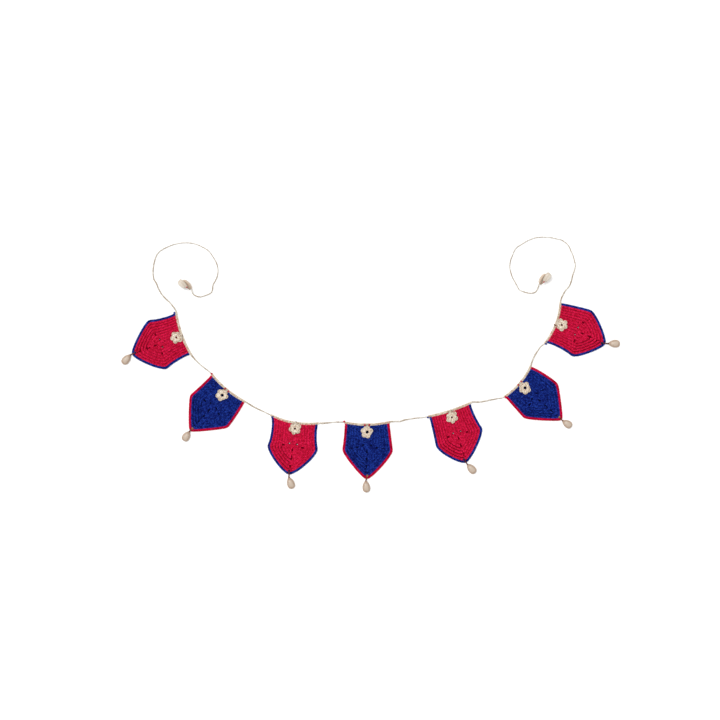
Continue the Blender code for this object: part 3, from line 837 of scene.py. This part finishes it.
def ground_sheet(name, colour):
    shape = bmesh.new()
    edges = []
    circle = np.arange(HOLE_SIDES) * math.tau / HOLE_SIDES
    ring = np.stack([np.cos(circle), np.sin(circle), 0 * circle], axis=1) * OPEN_RADIUS
    open_ones = eyelet_centres(name)[:OPEN_EYELETS[colour]]
    for loop in [closed_outline(name)] + [flat(centre) + ring for centre in open_ones]:
        corners = [shape.verts.new(point) for point in placed(name, loop)]
        edges += [shape.edges.new((a, b)) for a, b in zip(corners, corners[1:] + corners[:1])]
    bmesh.ops.triangle_fill(shape, use_beauty=True, edges=edges)
    bmesh.ops.recalc_face_normals(shape, faces=shape.faces)
    bmesh.ops.solidify(shape, geom=list(shape.faces), thickness=GROUND_TOP - GROUND_BOTTOM)
    bmesh.ops.recalc_face_normals(shape, faces=shape.faces)
    lowest = min(point.co.z for point in shape.verts)
    bmesh.ops.translate(shape, verts=shape.verts, vec=(0, 0, GROUND_BOTTOM - lowest))
    mesh = bpy.data.meshes.new(f"{name}_ground")
    shape.to_mesh(mesh)
    shape.free()
    mesh.materials.append(SHADED_GROUNDS[colour])
    item = add(f"{name}_ground", mesh)
    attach(item, "root")
    return item


# %% Ground strip
def ground_strip(name, inner, outer, material, bottom=GROUND_BOTTOM, top=GROUND_TOP, closed=False):
    """A flat strip between two lines, from bottom to top above them."""
    count = len(inner) - closed
    down, up = np.array([0, 0, bottom]), np.array([0, 0, top])
    ring = [inner[:count] + down, outer[:count] + down, outer[:count] + up, inner[:count] + up]
    points = np.stack(ring, axis=1).reshape(-1, 3)
    faces = []
    for spot in range(count if closed else count - 1):
        after = (spot + 1) % count
        for corner in range(4):
            beside = (corner + 1) % 4
            faces.append((spot * 4 + corner, spot * 4 + beside, after * 4 + beside, after * 4 + corner))
    if not closed:
        faces += [(3, 2, 1, 0), tuple((count - 1) * 4 + corner for corner in range(4))]
    mesh = bpy.data.meshes.new(name)
    mesh.from_pydata(points.tolist(), [], faces)
    mesh.materials.append(material)
    item = add(name, mesh)
    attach(item, "root")
    return item


print("ground sheets are", 1000 * (GROUND_TOP - GROUND_BOTTOM), "mm thick")

# %% Stitches of the panels
FIRST_GROOVED = 4


def laid(name, bundles):
    """Bundles of strands in a flag's own frame, carried to its place."""
    return [(placed(name, paths), radii) for paths, radii in bundles]


def panel_stitches(name, colour):
    lines = row_lines(name, ROWS)
    bundles = []
    tip, left = 2 * SIDE_STEPS, 3 * SIDE_STEPS
    for number, (inner, outer) in enumerate(zip(lines, lines[1:])):
        row = SOFT_ROW if number < FIRST_GROOVED else PLAIN_ROW
        grooved = SOFT_ROW if number < FIRST_GROOVED else GROOVED_ROW
        bundles += stitched(inner[:tip + 2], outer[:tip + 2], row)
        bundles += stitched(inner[tip:left + 1], outer[tip:left + 1], grooved)
        bundles += stitched(inner[left:], outer[left:], row)
    bundles = round_eyelets(bundles, eyelet_centres(name))
    return strand_piece(f"{name}_stitches", laid(name, bundles), YARNS[colour])


for name, (colour, _, _, _) in PLACES.items():
    ground = ground_sheet(name, colour)
    stitches = panel_stitches(name, colour)
    outline = closed_outline(name)
    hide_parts(f"{name}_panel")

# %% [markdown]
# ## Border and band
# One round in the contrast colour runs down the sides and along the lower edges. It is
# the same stitch, turned so that its chain makes the outer edge, and its feet reach
# over the panel's last row, as they are worked into it. The band along the top is one
# row in cream. At its left end the border's yarn was fastened off, which leaves a knot
# on the corner.

# %% Border and band stitches
JOINED_PITCH = 0.0040
JOINED_SHARE = 0.94
STRIP_GROUND = (-0.06, 0.94)
BORDER_START = 0.0030
BORDER_STOP = 0.0010
BORDER_POINTS = 200


def strip_piece(name, inner, outer, label, material, ground):
    """A joined row of stitches between two lines, with its ground."""
    outer = inner + (outer - inner) * JOINED_SHARE
    bundles = stitched(inner, outer, JOINED_ROW, pitch=JOINED_PITCH)
    row = strand_piece(f"{name}_{label}", laid(name, bundles), material)
    lines = [placed(name, inner + (outer - inner) * share) for share in STRIP_GROUND]
    base = ground_strip(f"{name}_{label}_ground", *lines, ground)
    return row, base


def border_lines(name):
    middle = border_line(name)
    lengths = lengths_along(middle)
    along = np.linspace(BORDER_START, lengths[-1] - BORDER_STOP, BORDER_POINTS)
    spots = np.interp(along, lengths, np.arange(len(middle)))
    sides = (eased(inset(middle, distance)) for distance in (BORDER_WIDTH / 2, -BORDER_WIDTH / 2))
    return [on_line(side, spots) for side in sides]


def band_lines(name):
    middle = sag_line(name, TOPS[name][0] / 2, SAG_STEPS)
    return middle - (0, BAND_WIDTH / 2, 0), middle + (0, BAND_WIDTH / 2, 0)


CONTRAST = {"red": "blue", "blue": "red"}
for name, (colour, _, _, _) in PLACES.items():
    other = CONTRAST[colour]
    shades = YARNS[f"{other}_border"], SHADED_GROUNDS[f"{other}_border"]
    border, border_ground = strip_piece(name, *border_lines(name), "border", *shades)
    shades = YARNS["cream"], SHADED_GROUNDS["cream"]
    band, band_ground = strip_piece(name, *band_lines(name), "band", *shades)
    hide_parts(f"{name}_edging")
    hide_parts(f"{name}_header")
    print(name, "border triangles:", border["triangles"], "band triangles:", band["triangles"])

# %% [markdown]
# ## Knots at the corners
# The border's yarn ends in a small knot near the left end of each band, and the cord is
# tied to the band's ends with a cream one. A knot is one strand in a loop with three
# lobes, which winds over and under itself.

# %% Corner knots
KNOT_POINTS = 37
KNOT_LIFT = 0.42
JOINT_YARN = YARN * 0.85
END_KNOT_SIZE = 0.0026
END_KNOT_HEIGHT = 0.0040
END_KNOT_TURN = 0.4
JOINT_SIZE = 0.0021
JOINT_HEIGHT = 0.0030
JOINT_TURN = 1.2
JOINT_OUTSIDE = 0.0004
# Where the border's yarn was fastened off, in each flag's own frame
END_KNOTS = {
    "flag_1": (-0.0690, -0.0060),
    "flag_2": (-0.0669, 0.0010),
    "flag_3": (-0.0690, -0.0050),
    "flag_4": (-0.0700, 0.0028),
    "flag_5": (-0.0710, -0.0026),
    "flag_6": (-0.0610, -0.0030),
    "flag_7": (-0.0684, -0.0037),
}


def knot_path(centre, size, turn=0.0):
    """A closed overhand knot: a three-lobed loop."""
    t = np.linspace(0, math.tau, KNOT_POINTS)
    x = (np.sin(t) + 2 * np.sin(2 * t)) / 3
    y = (np.cos(t) - 2 * np.cos(2 * t)) / 3
    z = -np.sin(3 * t) * KNOT_LIFT
    cosine, sine = math.cos(turn), math.sin(turn)
    spin = np.array([x * cosine - y * sine, x * sine + y * cosine, z])
    return centre + spin.T * size


def knot_piece(name, lines, radius, material):
    """One object from lines of yarn that are all as thick as each other."""
    bundles = [(line[None], np.full((1, len(line)), radius)) for line in lines]
    return strand_piece(name, bundles, material, 6)


for name, (colour, _, _, _) in PLACES.items():
    other = CONTRAST[colour]
    centre = np.array([*END_KNOTS[name], END_KNOT_HEIGHT])
    line = placed(name, knot_path(centre, END_KNOT_SIZE, END_KNOT_TURN))
    knot = knot_piece(f"{name}_end_knot", [line], YARN, YARNS[f"{other}_border"])
    half = TOPS[name][0] / 2 + JOINT_OUTSIDE
    joints = [np.array([side * half, 0.0, JOINT_HEIGHT]) for side in (-1, 1)]
    lines = [placed(name, knot_path(joint, JOINT_SIZE, JOINT_TURN)) for joint in joints]
    joint_knots = knot_piece(f"{name}_joint_knots", lines, JOINT_YARN, YARNS["cream"])
print("corner knots:", len(END_KNOTS))

# %% [markdown]
# ## Flowers
# A flower is a ring of stitches with a fan of long stitches in each petal. The petals
# are puffy, they dip where two of them meet, and the hole in the middle shows the
# panel. It is sewn on just below the band, so its upper petal touches the band.

# %% Flower stitches
# Each petal's direction in degrees, clockwise from the flag's top, and its reach
PETALS = {
    "red": (
        (0, 0.0190), (50, 0.0200), (122, 0.0187),
        (187, 0.0180), (252, 0.0186), (310, 0.0172),
    ),
    "blue": (
        (8, 0.0188), (70, 0.0184), (172, 0.0189),
        (226, 0.0198), (288, 0.0196), (338, 0.0182),
    ),
}
PETAL_HALF = 30.0
PETAL_DROP = 0.0052
PETAL_LIFT = 0.15
LEAST_REACH = 0.0136
FLOWER_BASE = 0.0046
HOLE_RADIUS = {"red": 0.0028, "blue": 0.0044}
SPOKE_PITCH = 0.0021
RIM_PITCH = 0.0024
EYE_PITCH = 0.0060
EYE_SHARE = 0.9
FLOWER_GROUND = (0.04, 0.90)
FLOWER_GROUND_TOP = 0.0014
SPOKE = [
    soft(6, (0.0, 0.08, 0.0020, 1.0), (-0.05, 0.36, 0.0028, 1.2),
         (0.0, 0.66, 0.0033, 1.35), (0.05, 0.93, 0.0022, 1.0)),
]
RIM = [
    soft(5, (-0.62, 0.90, 0.0012, 0.7), (-0.15, 0.95, 0.0026, 1.1),
         (0.30, 0.99, 0.0024, 1.1), (0.66, 0.95, 0.0012, 0.7)),
]
EYE = [
    soft(5, (-0.62, 0.04, 0.0016, 0.7), (-0.15, 0.10, 0.0030, 1.0),
         (0.30, 0.14, 0.0028, 1.0), (0.66, 0.08, 0.0016, 0.7)),
]


def flower_lines(centre, petals, hole):
    """The hole's line and the petals' line round a flower."""
    degrees = np.linspace(0, 360, 121)
    reach = np.full(len(degrees), LEAST_REACH)
    for direction, length in petals:
        away = (degrees - direction + 180) % 360 - 180
        reach = np.maximum(reach, length - PETAL_DROP * (away / PETAL_HALF) ** 2)
    turn = np.radians(degrees)
    spin = np.stack([np.sin(turn), np.cos(turn), 0 * turn], axis=1)
    inner = flat(centre) + spin * hole + (0, 0, FLOWER_BASE)
    outer = flat(centre) + spin * reach[:, None] + (0, 0, FLOWER_BASE)
    outer[:, 2] += PETAL_LIFT * (reach - reach.mean())
    return inner, outer


for name, centre in FLOWERS.items():
    colour = PLACES[name][0]
    inner, outer = flower_lines(centre, PETALS[colour], HOLE_RADIUS[colour])
    bundles = stitched(inner, outer, SPOKE, pitch=SPOKE_PITCH, closed=True)
    bundles += stitched(inner, outer, RIM, pitch=RIM_PITCH, closed=True)
    bundles += stitched(inner, inner + (outer - inner) * EYE_SHARE, EYE, pitch=EYE_PITCH, closed=True)
    flower = strand_piece(f"{name}_rosette", laid(name, bundles), YARNS["flower"])
    lines = [placed(name, inner + (outer - inner) * share) for share in FLOWER_GROUND]
    base = ground_strip(
        f"{name}_rosette_ground", *lines, SHADED_GROUNDS["cream"], top=FLOWER_GROUND_TOP, closed=True
    )
    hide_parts(f"{name}_flower")
    print(name, "flower triangles:", flower["triangles"])

# %% [markdown]
# ## Stitches that hold the flowers
# The flower is sewn on. One or two short loops show beside the petal that touches the
# band: brown thread on the crimson flags, and the border's yarn on the blue ones.

# %% Sewing loops
LOOP_HEIGHT = 0.0044
LOOP_BOW = 0.0016
LOOP_HALF = 0.0009
LOOP_SPAN = (0.0006, 0.0062, 0.0)
# The middles of the loops, in each flag's own frame
SEWING = {
    "flag_1": [(0.0040, -0.0078)],
    "flag_2": [(-0.0065, -0.0085), (0.0065, -0.0085)],
    "flag_3": [(0.0055, -0.0090)],
    "flag_4": [(-0.0070, -0.0085), (0.0065, -0.0085)],
    "flag_5": [(-0.0065, -0.0095), (0.0040, -0.0080)],
    "flag_6": [(-0.0065, -0.0085), (0.0070, -0.0085)],
    "flag_7": [(-0.0045, -0.0085)],
}
for name, spots in SEWING.items():
    shade = "brown" if PLACES[name][0] == "red" else "red_border"
    lines = []
    for x, y in spots:
        t = np.linspace(-0.5, 0.5, 9)[:, None]
        bow = LOOP_BOW * (1 - 4 * t[:, 0] ** 2)
        for aside_x in (-LOOP_HALF, LOOP_HALF):
            line = np.array([x + aside_x, y, LOOP_HEIGHT]) + t * LOOP_SPAN
            line[:, 2] += bow
            lines.append(placed(name, line))
    loops = knot_piece(f"{name}_sewing", lines, YARN * 0.9, YARNS[shade])
print("sewing loops:", sum(len(spots) for spots in SEWING.values()))

# %% [markdown]
# ## Shells
# The shells are small cowries. A cowrie is a smooth glossy dome over a nearly flat
# mouth side, where a toothed slit runs from end to end. We loft it from cross sections
# along its length. Each section is a dome above and a flatter belly below, and the
# belly is drawn up into the slit. The glaze is pale on the back and tan at the rim.

# %% Shell glaze
def shell_glaze(name, rim, back, crown):
    """A glaze that changes from rim to crown with the height on the shell."""
    sockets = {"Roughness": 0.42, "Coat Weight": 0.10, "Coat Roughness": 0.20}
    material, tree, shader = new_material(name, sockets)
    spot = node(tree, "ShaderNodeTexCoord").outputs["Object"]
    parts = node(tree, "ShaderNodeSeparateXYZ", spot)
    height = maths(tree, "DIVIDE", parts.outputs["Z"], SHELL_HEIGHT)
    cloud = noise(tree, spot, 170.0, 3.0)
    # The blotches shift the bands of colour by up to a quarter of the shell's height
    blotch = maths(tree, "MULTIPLY_ADD", cloud, 0.5, -0.25)
    level = maths(tree, "ADD", height, blotch)
    colour = ramp(tree, level, (0.15, rim), (0.45, back), (0.72, rim), (0.92, crown))
    tree.links.new(colour, shader.inputs["Base Color"])
    add_bump(tree, shader, cloud, 0.15, 0.0002)
    return material


GLAZE_COLOURS = {
    "hanging": ((0.34, 0.235, 0.165), (0.385, 0.28, 0.20), (0.445, 0.36, 0.285)),
    "near": ((0.46, 0.345, 0.25), (0.55, 0.44, 0.34), (0.60, 0.51, 0.42)),
    "far": ((0.46, 0.39, 0.31), (0.55, 0.48, 0.40), (0.60, 0.54, 0.46)),
}
GLAZES = {key: shell_glaze(f"{key}_shell", *colours) for key, colours in GLAZE_COLOURS.items()}
print("glazes:", list(GLAZES))

# %% Shell shape
SHELL_WIDTH = 0.0228
SHELL_SECTIONS = 60
SHELL_SIDES = 40
OUTER_SWELL = 0.22
TOOTH_PITCH = 0.0017
SLIT_DEPTH = 0.0042
SLIT_HALF = 0.10
TOOTH_HALF = 0.05
# The lower these two, the fuller the shell's back and its belly
BACK_ROUND = 0.85
BELLY_ROUND = 0.55
# By this share the shell steps in, a little above its widest line
SHOULDER = 0.10
SHOULDER_START = 0.12
SHOULDER_RUN = 0.3
DOME = (SHELL_HEIGHT, SHELL_WIDEST * SHELL_HEIGHT)


def shell_mesh(name, length, material, dome=DOME, ends=(1.15, 0.80), lean=0):
    """A cowrie with its narrow end at the origin, its length along x and its mouth below.

    dome is its height and the height at which it is widest. The lower the two values
    in ends, the blunter the narrow end and the other end. lean makes its far half higher.
    """
    height, widest = dome
    points = []
    for section in range(SHELL_SECTIONS + 1):
        angle = math.pi * section / SHELL_SECTIONS
        along = -math.cos(angle)
        swell = math.sin(angle)
        blunt = ends[0] if along < 0 else ends[1]
        half = SHELL_WIDTH / 2 * swell ** blunt * (1 + OUTER_SWELL * along)
        x = length / 2 * (1 + along)
        for step in range(SHELL_SIDES):
            turn = math.tau * step / SHELL_SIDES
            across, lift = math.cos(turn), math.sin(turn)
            if lift >= 0:
                z = widest + (height - widest) * lift ** BACK_ROUND * swell ** blunt * (1 + lean * along)
            else:
                z = widest - widest * abs(lift) ** BELLY_ROUND * swell
                tooth = 0.5 + 0.5 * math.sin(math.tau * x / TOOTH_PITCH)
                slit = math.exp(-(across / (SLIT_HALF + TOOTH_HALF * tooth)) ** 2)
                # The slit fades out towards both ends of the shell
                slit *= min(1, 3 * swell - 1.2)
                z += SLIT_DEPTH * max(0, slit)
            shoulder = 1 - SHOULDER * min(1, max(0, (lift - SHOULDER_START) / SHOULDER_RUN))
            points.append((x, half * across * shoulder, z))
    faces = []
    for section in range(SHELL_SECTIONS):
        for step in range(SHELL_SIDES):
            a = section * SHELL_SIDES + step
            b = section * SHELL_SIDES + (step + 1) % SHELL_SIDES
            faces.append((a, b, b + SHELL_SIDES, a + SHELL_SIDES))
    mesh = bpy.data.meshes.new(name)
    mesh.from_pydata(points, [], faces)
    shape = bmesh.new()
    shape.from_mesh(mesh)
    bmesh.ops.remove_doubles(shape, verts=shape.verts, dist=1e-6)
    bmesh.ops.recalc_face_normals(shape, faces=shape.faces)
    shape.to_mesh(mesh)
    shape.free()
    mesh.materials.append(material)
    mesh.shade_smooth()
    item = add(name, mesh)
    return item


# %% Hang a shell from each tip
# Each shell's outer end in its flag's own frame, its length and its swing in degrees
SHELLS = {
    "flag_1": ((0.0255, -0.2070), 0.036, 30),
    "flag_2": ((-0.0030, -0.2120), 0.033, 8),
    "flag_3": ((0.0290, -0.2105), 0.036, 27),
    "flag_4": ((-0.0030, -0.2150), 0.036, 4),
    "flag_5": ((0.0150, -0.2090), 0.036, 25),
    "flag_6": ((0.0020, -0.2160), 0.033, 7),
    "flag_7": ((0.0130, -0.2150), 0.036, 21),
}


def shell_neck(name):
    """The shell's narrow end and its direction, in the flag's own frame."""
    end, length, swing = SHELLS[name]
    way = np.array([math.sin(math.radians(swing)), -math.cos(math.radians(swing)), 0.0])
    return flat(end) - way * length, way


for name, (_, length, _) in SHELLS.items():
    neck, way = shell_neck(name)
    shell = shell_mesh(f"{name}_cowrie", length, GLAZES["hanging"])
    spot = placed(name, neck[None])[0]
    turn = math.atan2(way[1], way[0]) + math.radians(PLACES[name][3])
    shell.location = spot
    shell.rotation_euler = (0, 0, turn)
    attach(shell, "root")
    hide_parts(f"{name}_shell")
    print(name, "shell length in mm:", 1000 * length)

# %% [markdown]
# ## Threads and knots
# A brown thread holds each shell. It is knotted to the flag just inside the tip, passes
# over the border and ends in a few turns round the shell's narrow end. The knot is
# dark teal on the crimson flags and tan on the blue ones. We make the knot as one
# strand that winds round itself, and the thread as two strands side by side.

# %% Thread and knot strands
THREAD = 0.00092
KNOT_INSIDE_TIP = 0.0080
TIP_KNOT_SIZE = 0.0027
TIP_KNOT_YARN = 0.00105
TIP_KNOT_HEIGHT = 0.0058
# The thread's way past the tip and its height, over the border and halfway to the shell
OVER_BORDER = [(-KNOT_INSIDE_TIP, 0.0052), (-0.0035, 0.0054), (0.0000, 0.0053), (0.0028, 0.0049)]
HALFWAY_HEIGHT = 0.0042
INTO_SHELL = 0.0012
THREAD_STEP = 0.0008
STRANDS_CLOSE = 0.9
SOFTEN_STEP = 0.0004
SOFTEN_ROUNDS = 12
# The turns round the shell's narrow end: where they begin, their radius, number and pitch
TURNS_START = 0.0006
TURNS = (0.0024, 2.5, 0.0011)


def coil_path(centre, way, radius, turns, pitch):
    """Turns of thread round a line that runs along way."""
    t = np.linspace(0, turns, int(12 * turns) + 1)
    side = np.array([-way[1], way[0], 0.0])
    ring = side * np.cos(math.tau * t)[:, None] + UP * np.sin(math.tau * t)[:, None]
    return centre + ring * radius + way * (t * pitch)[:, None]


def softened(line):
    """The line with its corners rounded in all three directions."""
    fine = even_line(line, SOFTEN_STEP)
    for _ in range(SOFTEN_ROUNDS):
        fine[1:-1] = (fine[:-2] + 2 * fine[1:-1] + fine[2:]) / 4
    return fine


def thread_paths(tip, way, reach, nose):
    """The two strands from the knot over the border to the shell's narrow end."""
    halfway = (0.5 * (OVER_BORDER[-1][0] + reach), HALFWAY_HEIGHT)
    stations = OVER_BORDER + [halfway, (reach, nose), (reach + INTO_SHELL, nose)]
    line = np.array([tip + way * along + UP * height for along, height in stations])
    line = even_line(softened(line), THREAD_STEP)
    side = np.array([-way[1], way[0], 0.0]) * THREAD * STRANDS_CLOSE
    return [line + side, line - side]


nose = SHELL_WIDEST * SHELL_HEIGHT
for name, (colour, _, _, _) in PLACES.items():
    tip = flat(LOWER[name][1])
    neck, shell_way = shell_neck(name)
    reach = np.linalg.norm(neck - tip)
    way = (neck - tip) / reach
    turns = coil_path(neck + shell_way * TURNS_START + UP * nose, shell_way, *TURNS)
    lines = [placed(name, line) for line in (*thread_paths(tip, way, reach, nose), turns)]
    tie = knot_piece(f"{name}_thread", lines, THREAD, YARNS["brown"])
    centre = tip - way * KNOT_INSIDE_TIP + UP * TIP_KNOT_HEIGHT
    line = placed(name, knot_path(centre, TIP_KNOT_SIZE))
    shade = YARNS["teal" if colour == "red" else "tan"]
    knot = knot_piece(f"{name}_knot", [line], TIP_KNOT_YARN, shade)
    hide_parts(f"{name}_tie")
print("threads and knots:", len(PLACES))

# %% [markdown]
# ## The ends of the tails
# Each tail ends in two cowries on their edges, mouth to mouth, the further one shifted
# outwards and rolled a little over the nearer one. A thread with a small red bead joins
# their narrow ends. The tail's last chain stitches lead right to the nearer shell.

# %% Pairs of shells
NEAR_LENGTH = 0.0375
NEAR_START = 0.0002
NEAR_TILT = math.radians(17)
NEAR_DOME = (0.0135, 0.0010)
NEAR_ENDS = (0.75, 0.65)
FAR_LENGTH = 0.0335
FAR_START = 0.0115
FAR_MIDDLE = 0.0123
FAR_TILT = math.radians(6)
FAR_DOME = (0.0145, 0.0010)
FAR_ENDS = (0.95, 0.58)
FAR_LEAN = 0.15
QUARTER = math.pi / 2
ROLL = math.radians(34)
# How far the near shell and the far one turn from the cluster's direction, in degrees
YAW = {"left": (0, 2), "right": (6, 4)}
BEAD_RADIUS = 0.0028
BEAD_ALONG = 0.0125
BEAD_HEIGHT = 0.0185


def seat(item, side, place, rotation, yaw=0):
    """Puts a piece into a cluster's own frame, which yaw turns by some degrees."""
    x, y, turn, _ = CLUSTERS[side]
    turn += yaw
    item.matrix_world = (
        Matrix.Translation((x, y, 0))
        @ Matrix.Rotation(math.radians(turn), 4, "Z")
        @ Matrix.Translation(place)
        @ Matrix.Rotation(rotation[1], 4, "Y")
        @ Matrix.Rotation(rotation[0], 4, "X")
    )


def bead(name):
    shape = bmesh.new()
    bmesh.ops.create_uvsphere(shape, u_segments=24, v_segments=16, radius=BEAD_RADIUS)
    bmesh.ops.scale(shape, vec=(0.86, 0.86, 1.0), verts=shape.verts)
    mesh = bpy.data.meshes.new(name)
    shape.to_mesh(mesh)
    shape.free()
    mesh.shade_smooth()
    item = add(name, mesh)
    return item


# %% Red glass for the beads
def bead_glass():
    material, tree, shader = new_material("red_bead_glass", {"Roughness": 0.18, "Coat Weight": 0.5})
    cloud = noise(tree, node(tree, "ShaderNodeTexCoord").outputs["Object"], 300.0, 2.0)
    colour = ramp(tree, cloud, (0.35, (0.31, 0.026, 0.034)), (0.70, (0.52, 0.077, 0.077)))
    tree.links.new(colour, shader.inputs["Base Color"])
    return material


red_glass = bead_glass()
print("glass of the beads:", red_glass.name)

# %% Seat the pairs and their beads
for side, (_, _, _, near_side) in CLUSTERS.items():
    nose = CORD_WIDTH / 2 + TAIL_END_RISE
    near = shell_mesh(f"{side}_near_cowrie", NEAR_LENGTH, GLAZES["near"], NEAR_DOME, NEAR_ENDS)
    turns = (-near_side * (QUARTER + ROLL), -NEAR_TILT)
    seat(near, side, (NEAR_START, near_side * GAP / 2, nose), turns, YAW[side][0])
    far = shell_mesh(f"{side}_far_cowrie", FAR_LENGTH, GLAZES["far"], FAR_DOME, FAR_ENDS, FAR_LEAN)
    turns = (near_side * (QUARTER - ROLL), -FAR_TILT)
    seat(far, side, (FAR_START, -near_side * GAP / 2, FAR_MIDDLE), turns, YAW[side][1])
    red = bead(f"{side}_red_bead")
    aside_bead = -near_side * (BEAD_RADIUS + GAP)
    seat(red, side, (BEAD_ALONG, aside_bead, BEAD_HEIGHT), (0, 0))
    red.data.materials.append(red_glass)
    # The thread runs from the cord's end through the bead to the far shell
    stations = np.array([
        (0.0010, aside_bead * 0.4, nose + 0.001),
        (0.0050, aside_bead * 0.8, 0.0128),
        (BEAD_ALONG, aside_bead, BEAD_HEIGHT),
        (FAR_START + 0.0015, aside_bead * 0.4, FAR_MIDDLE + 0.0015),
    ])
    thread = knot_piece(f"{side}_bead_thread", [stations], THREAD, YARNS["tan"])
    seat(thread, side, (0, 0, 0), (0, 0))
    shells = [(near, "shell_near", "natural_shell"), (far, "shell_far", "natural_shell")]
    for item, solid, slot in shells + [(red, "bead", "red_bead")]:
        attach(item, "root")
        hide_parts(f"{side}_{solid}")

for name, route in ROUTES.items():
    length = lengths_along(route)[-1]
    print(name, "is", round(length, 3), "m long")
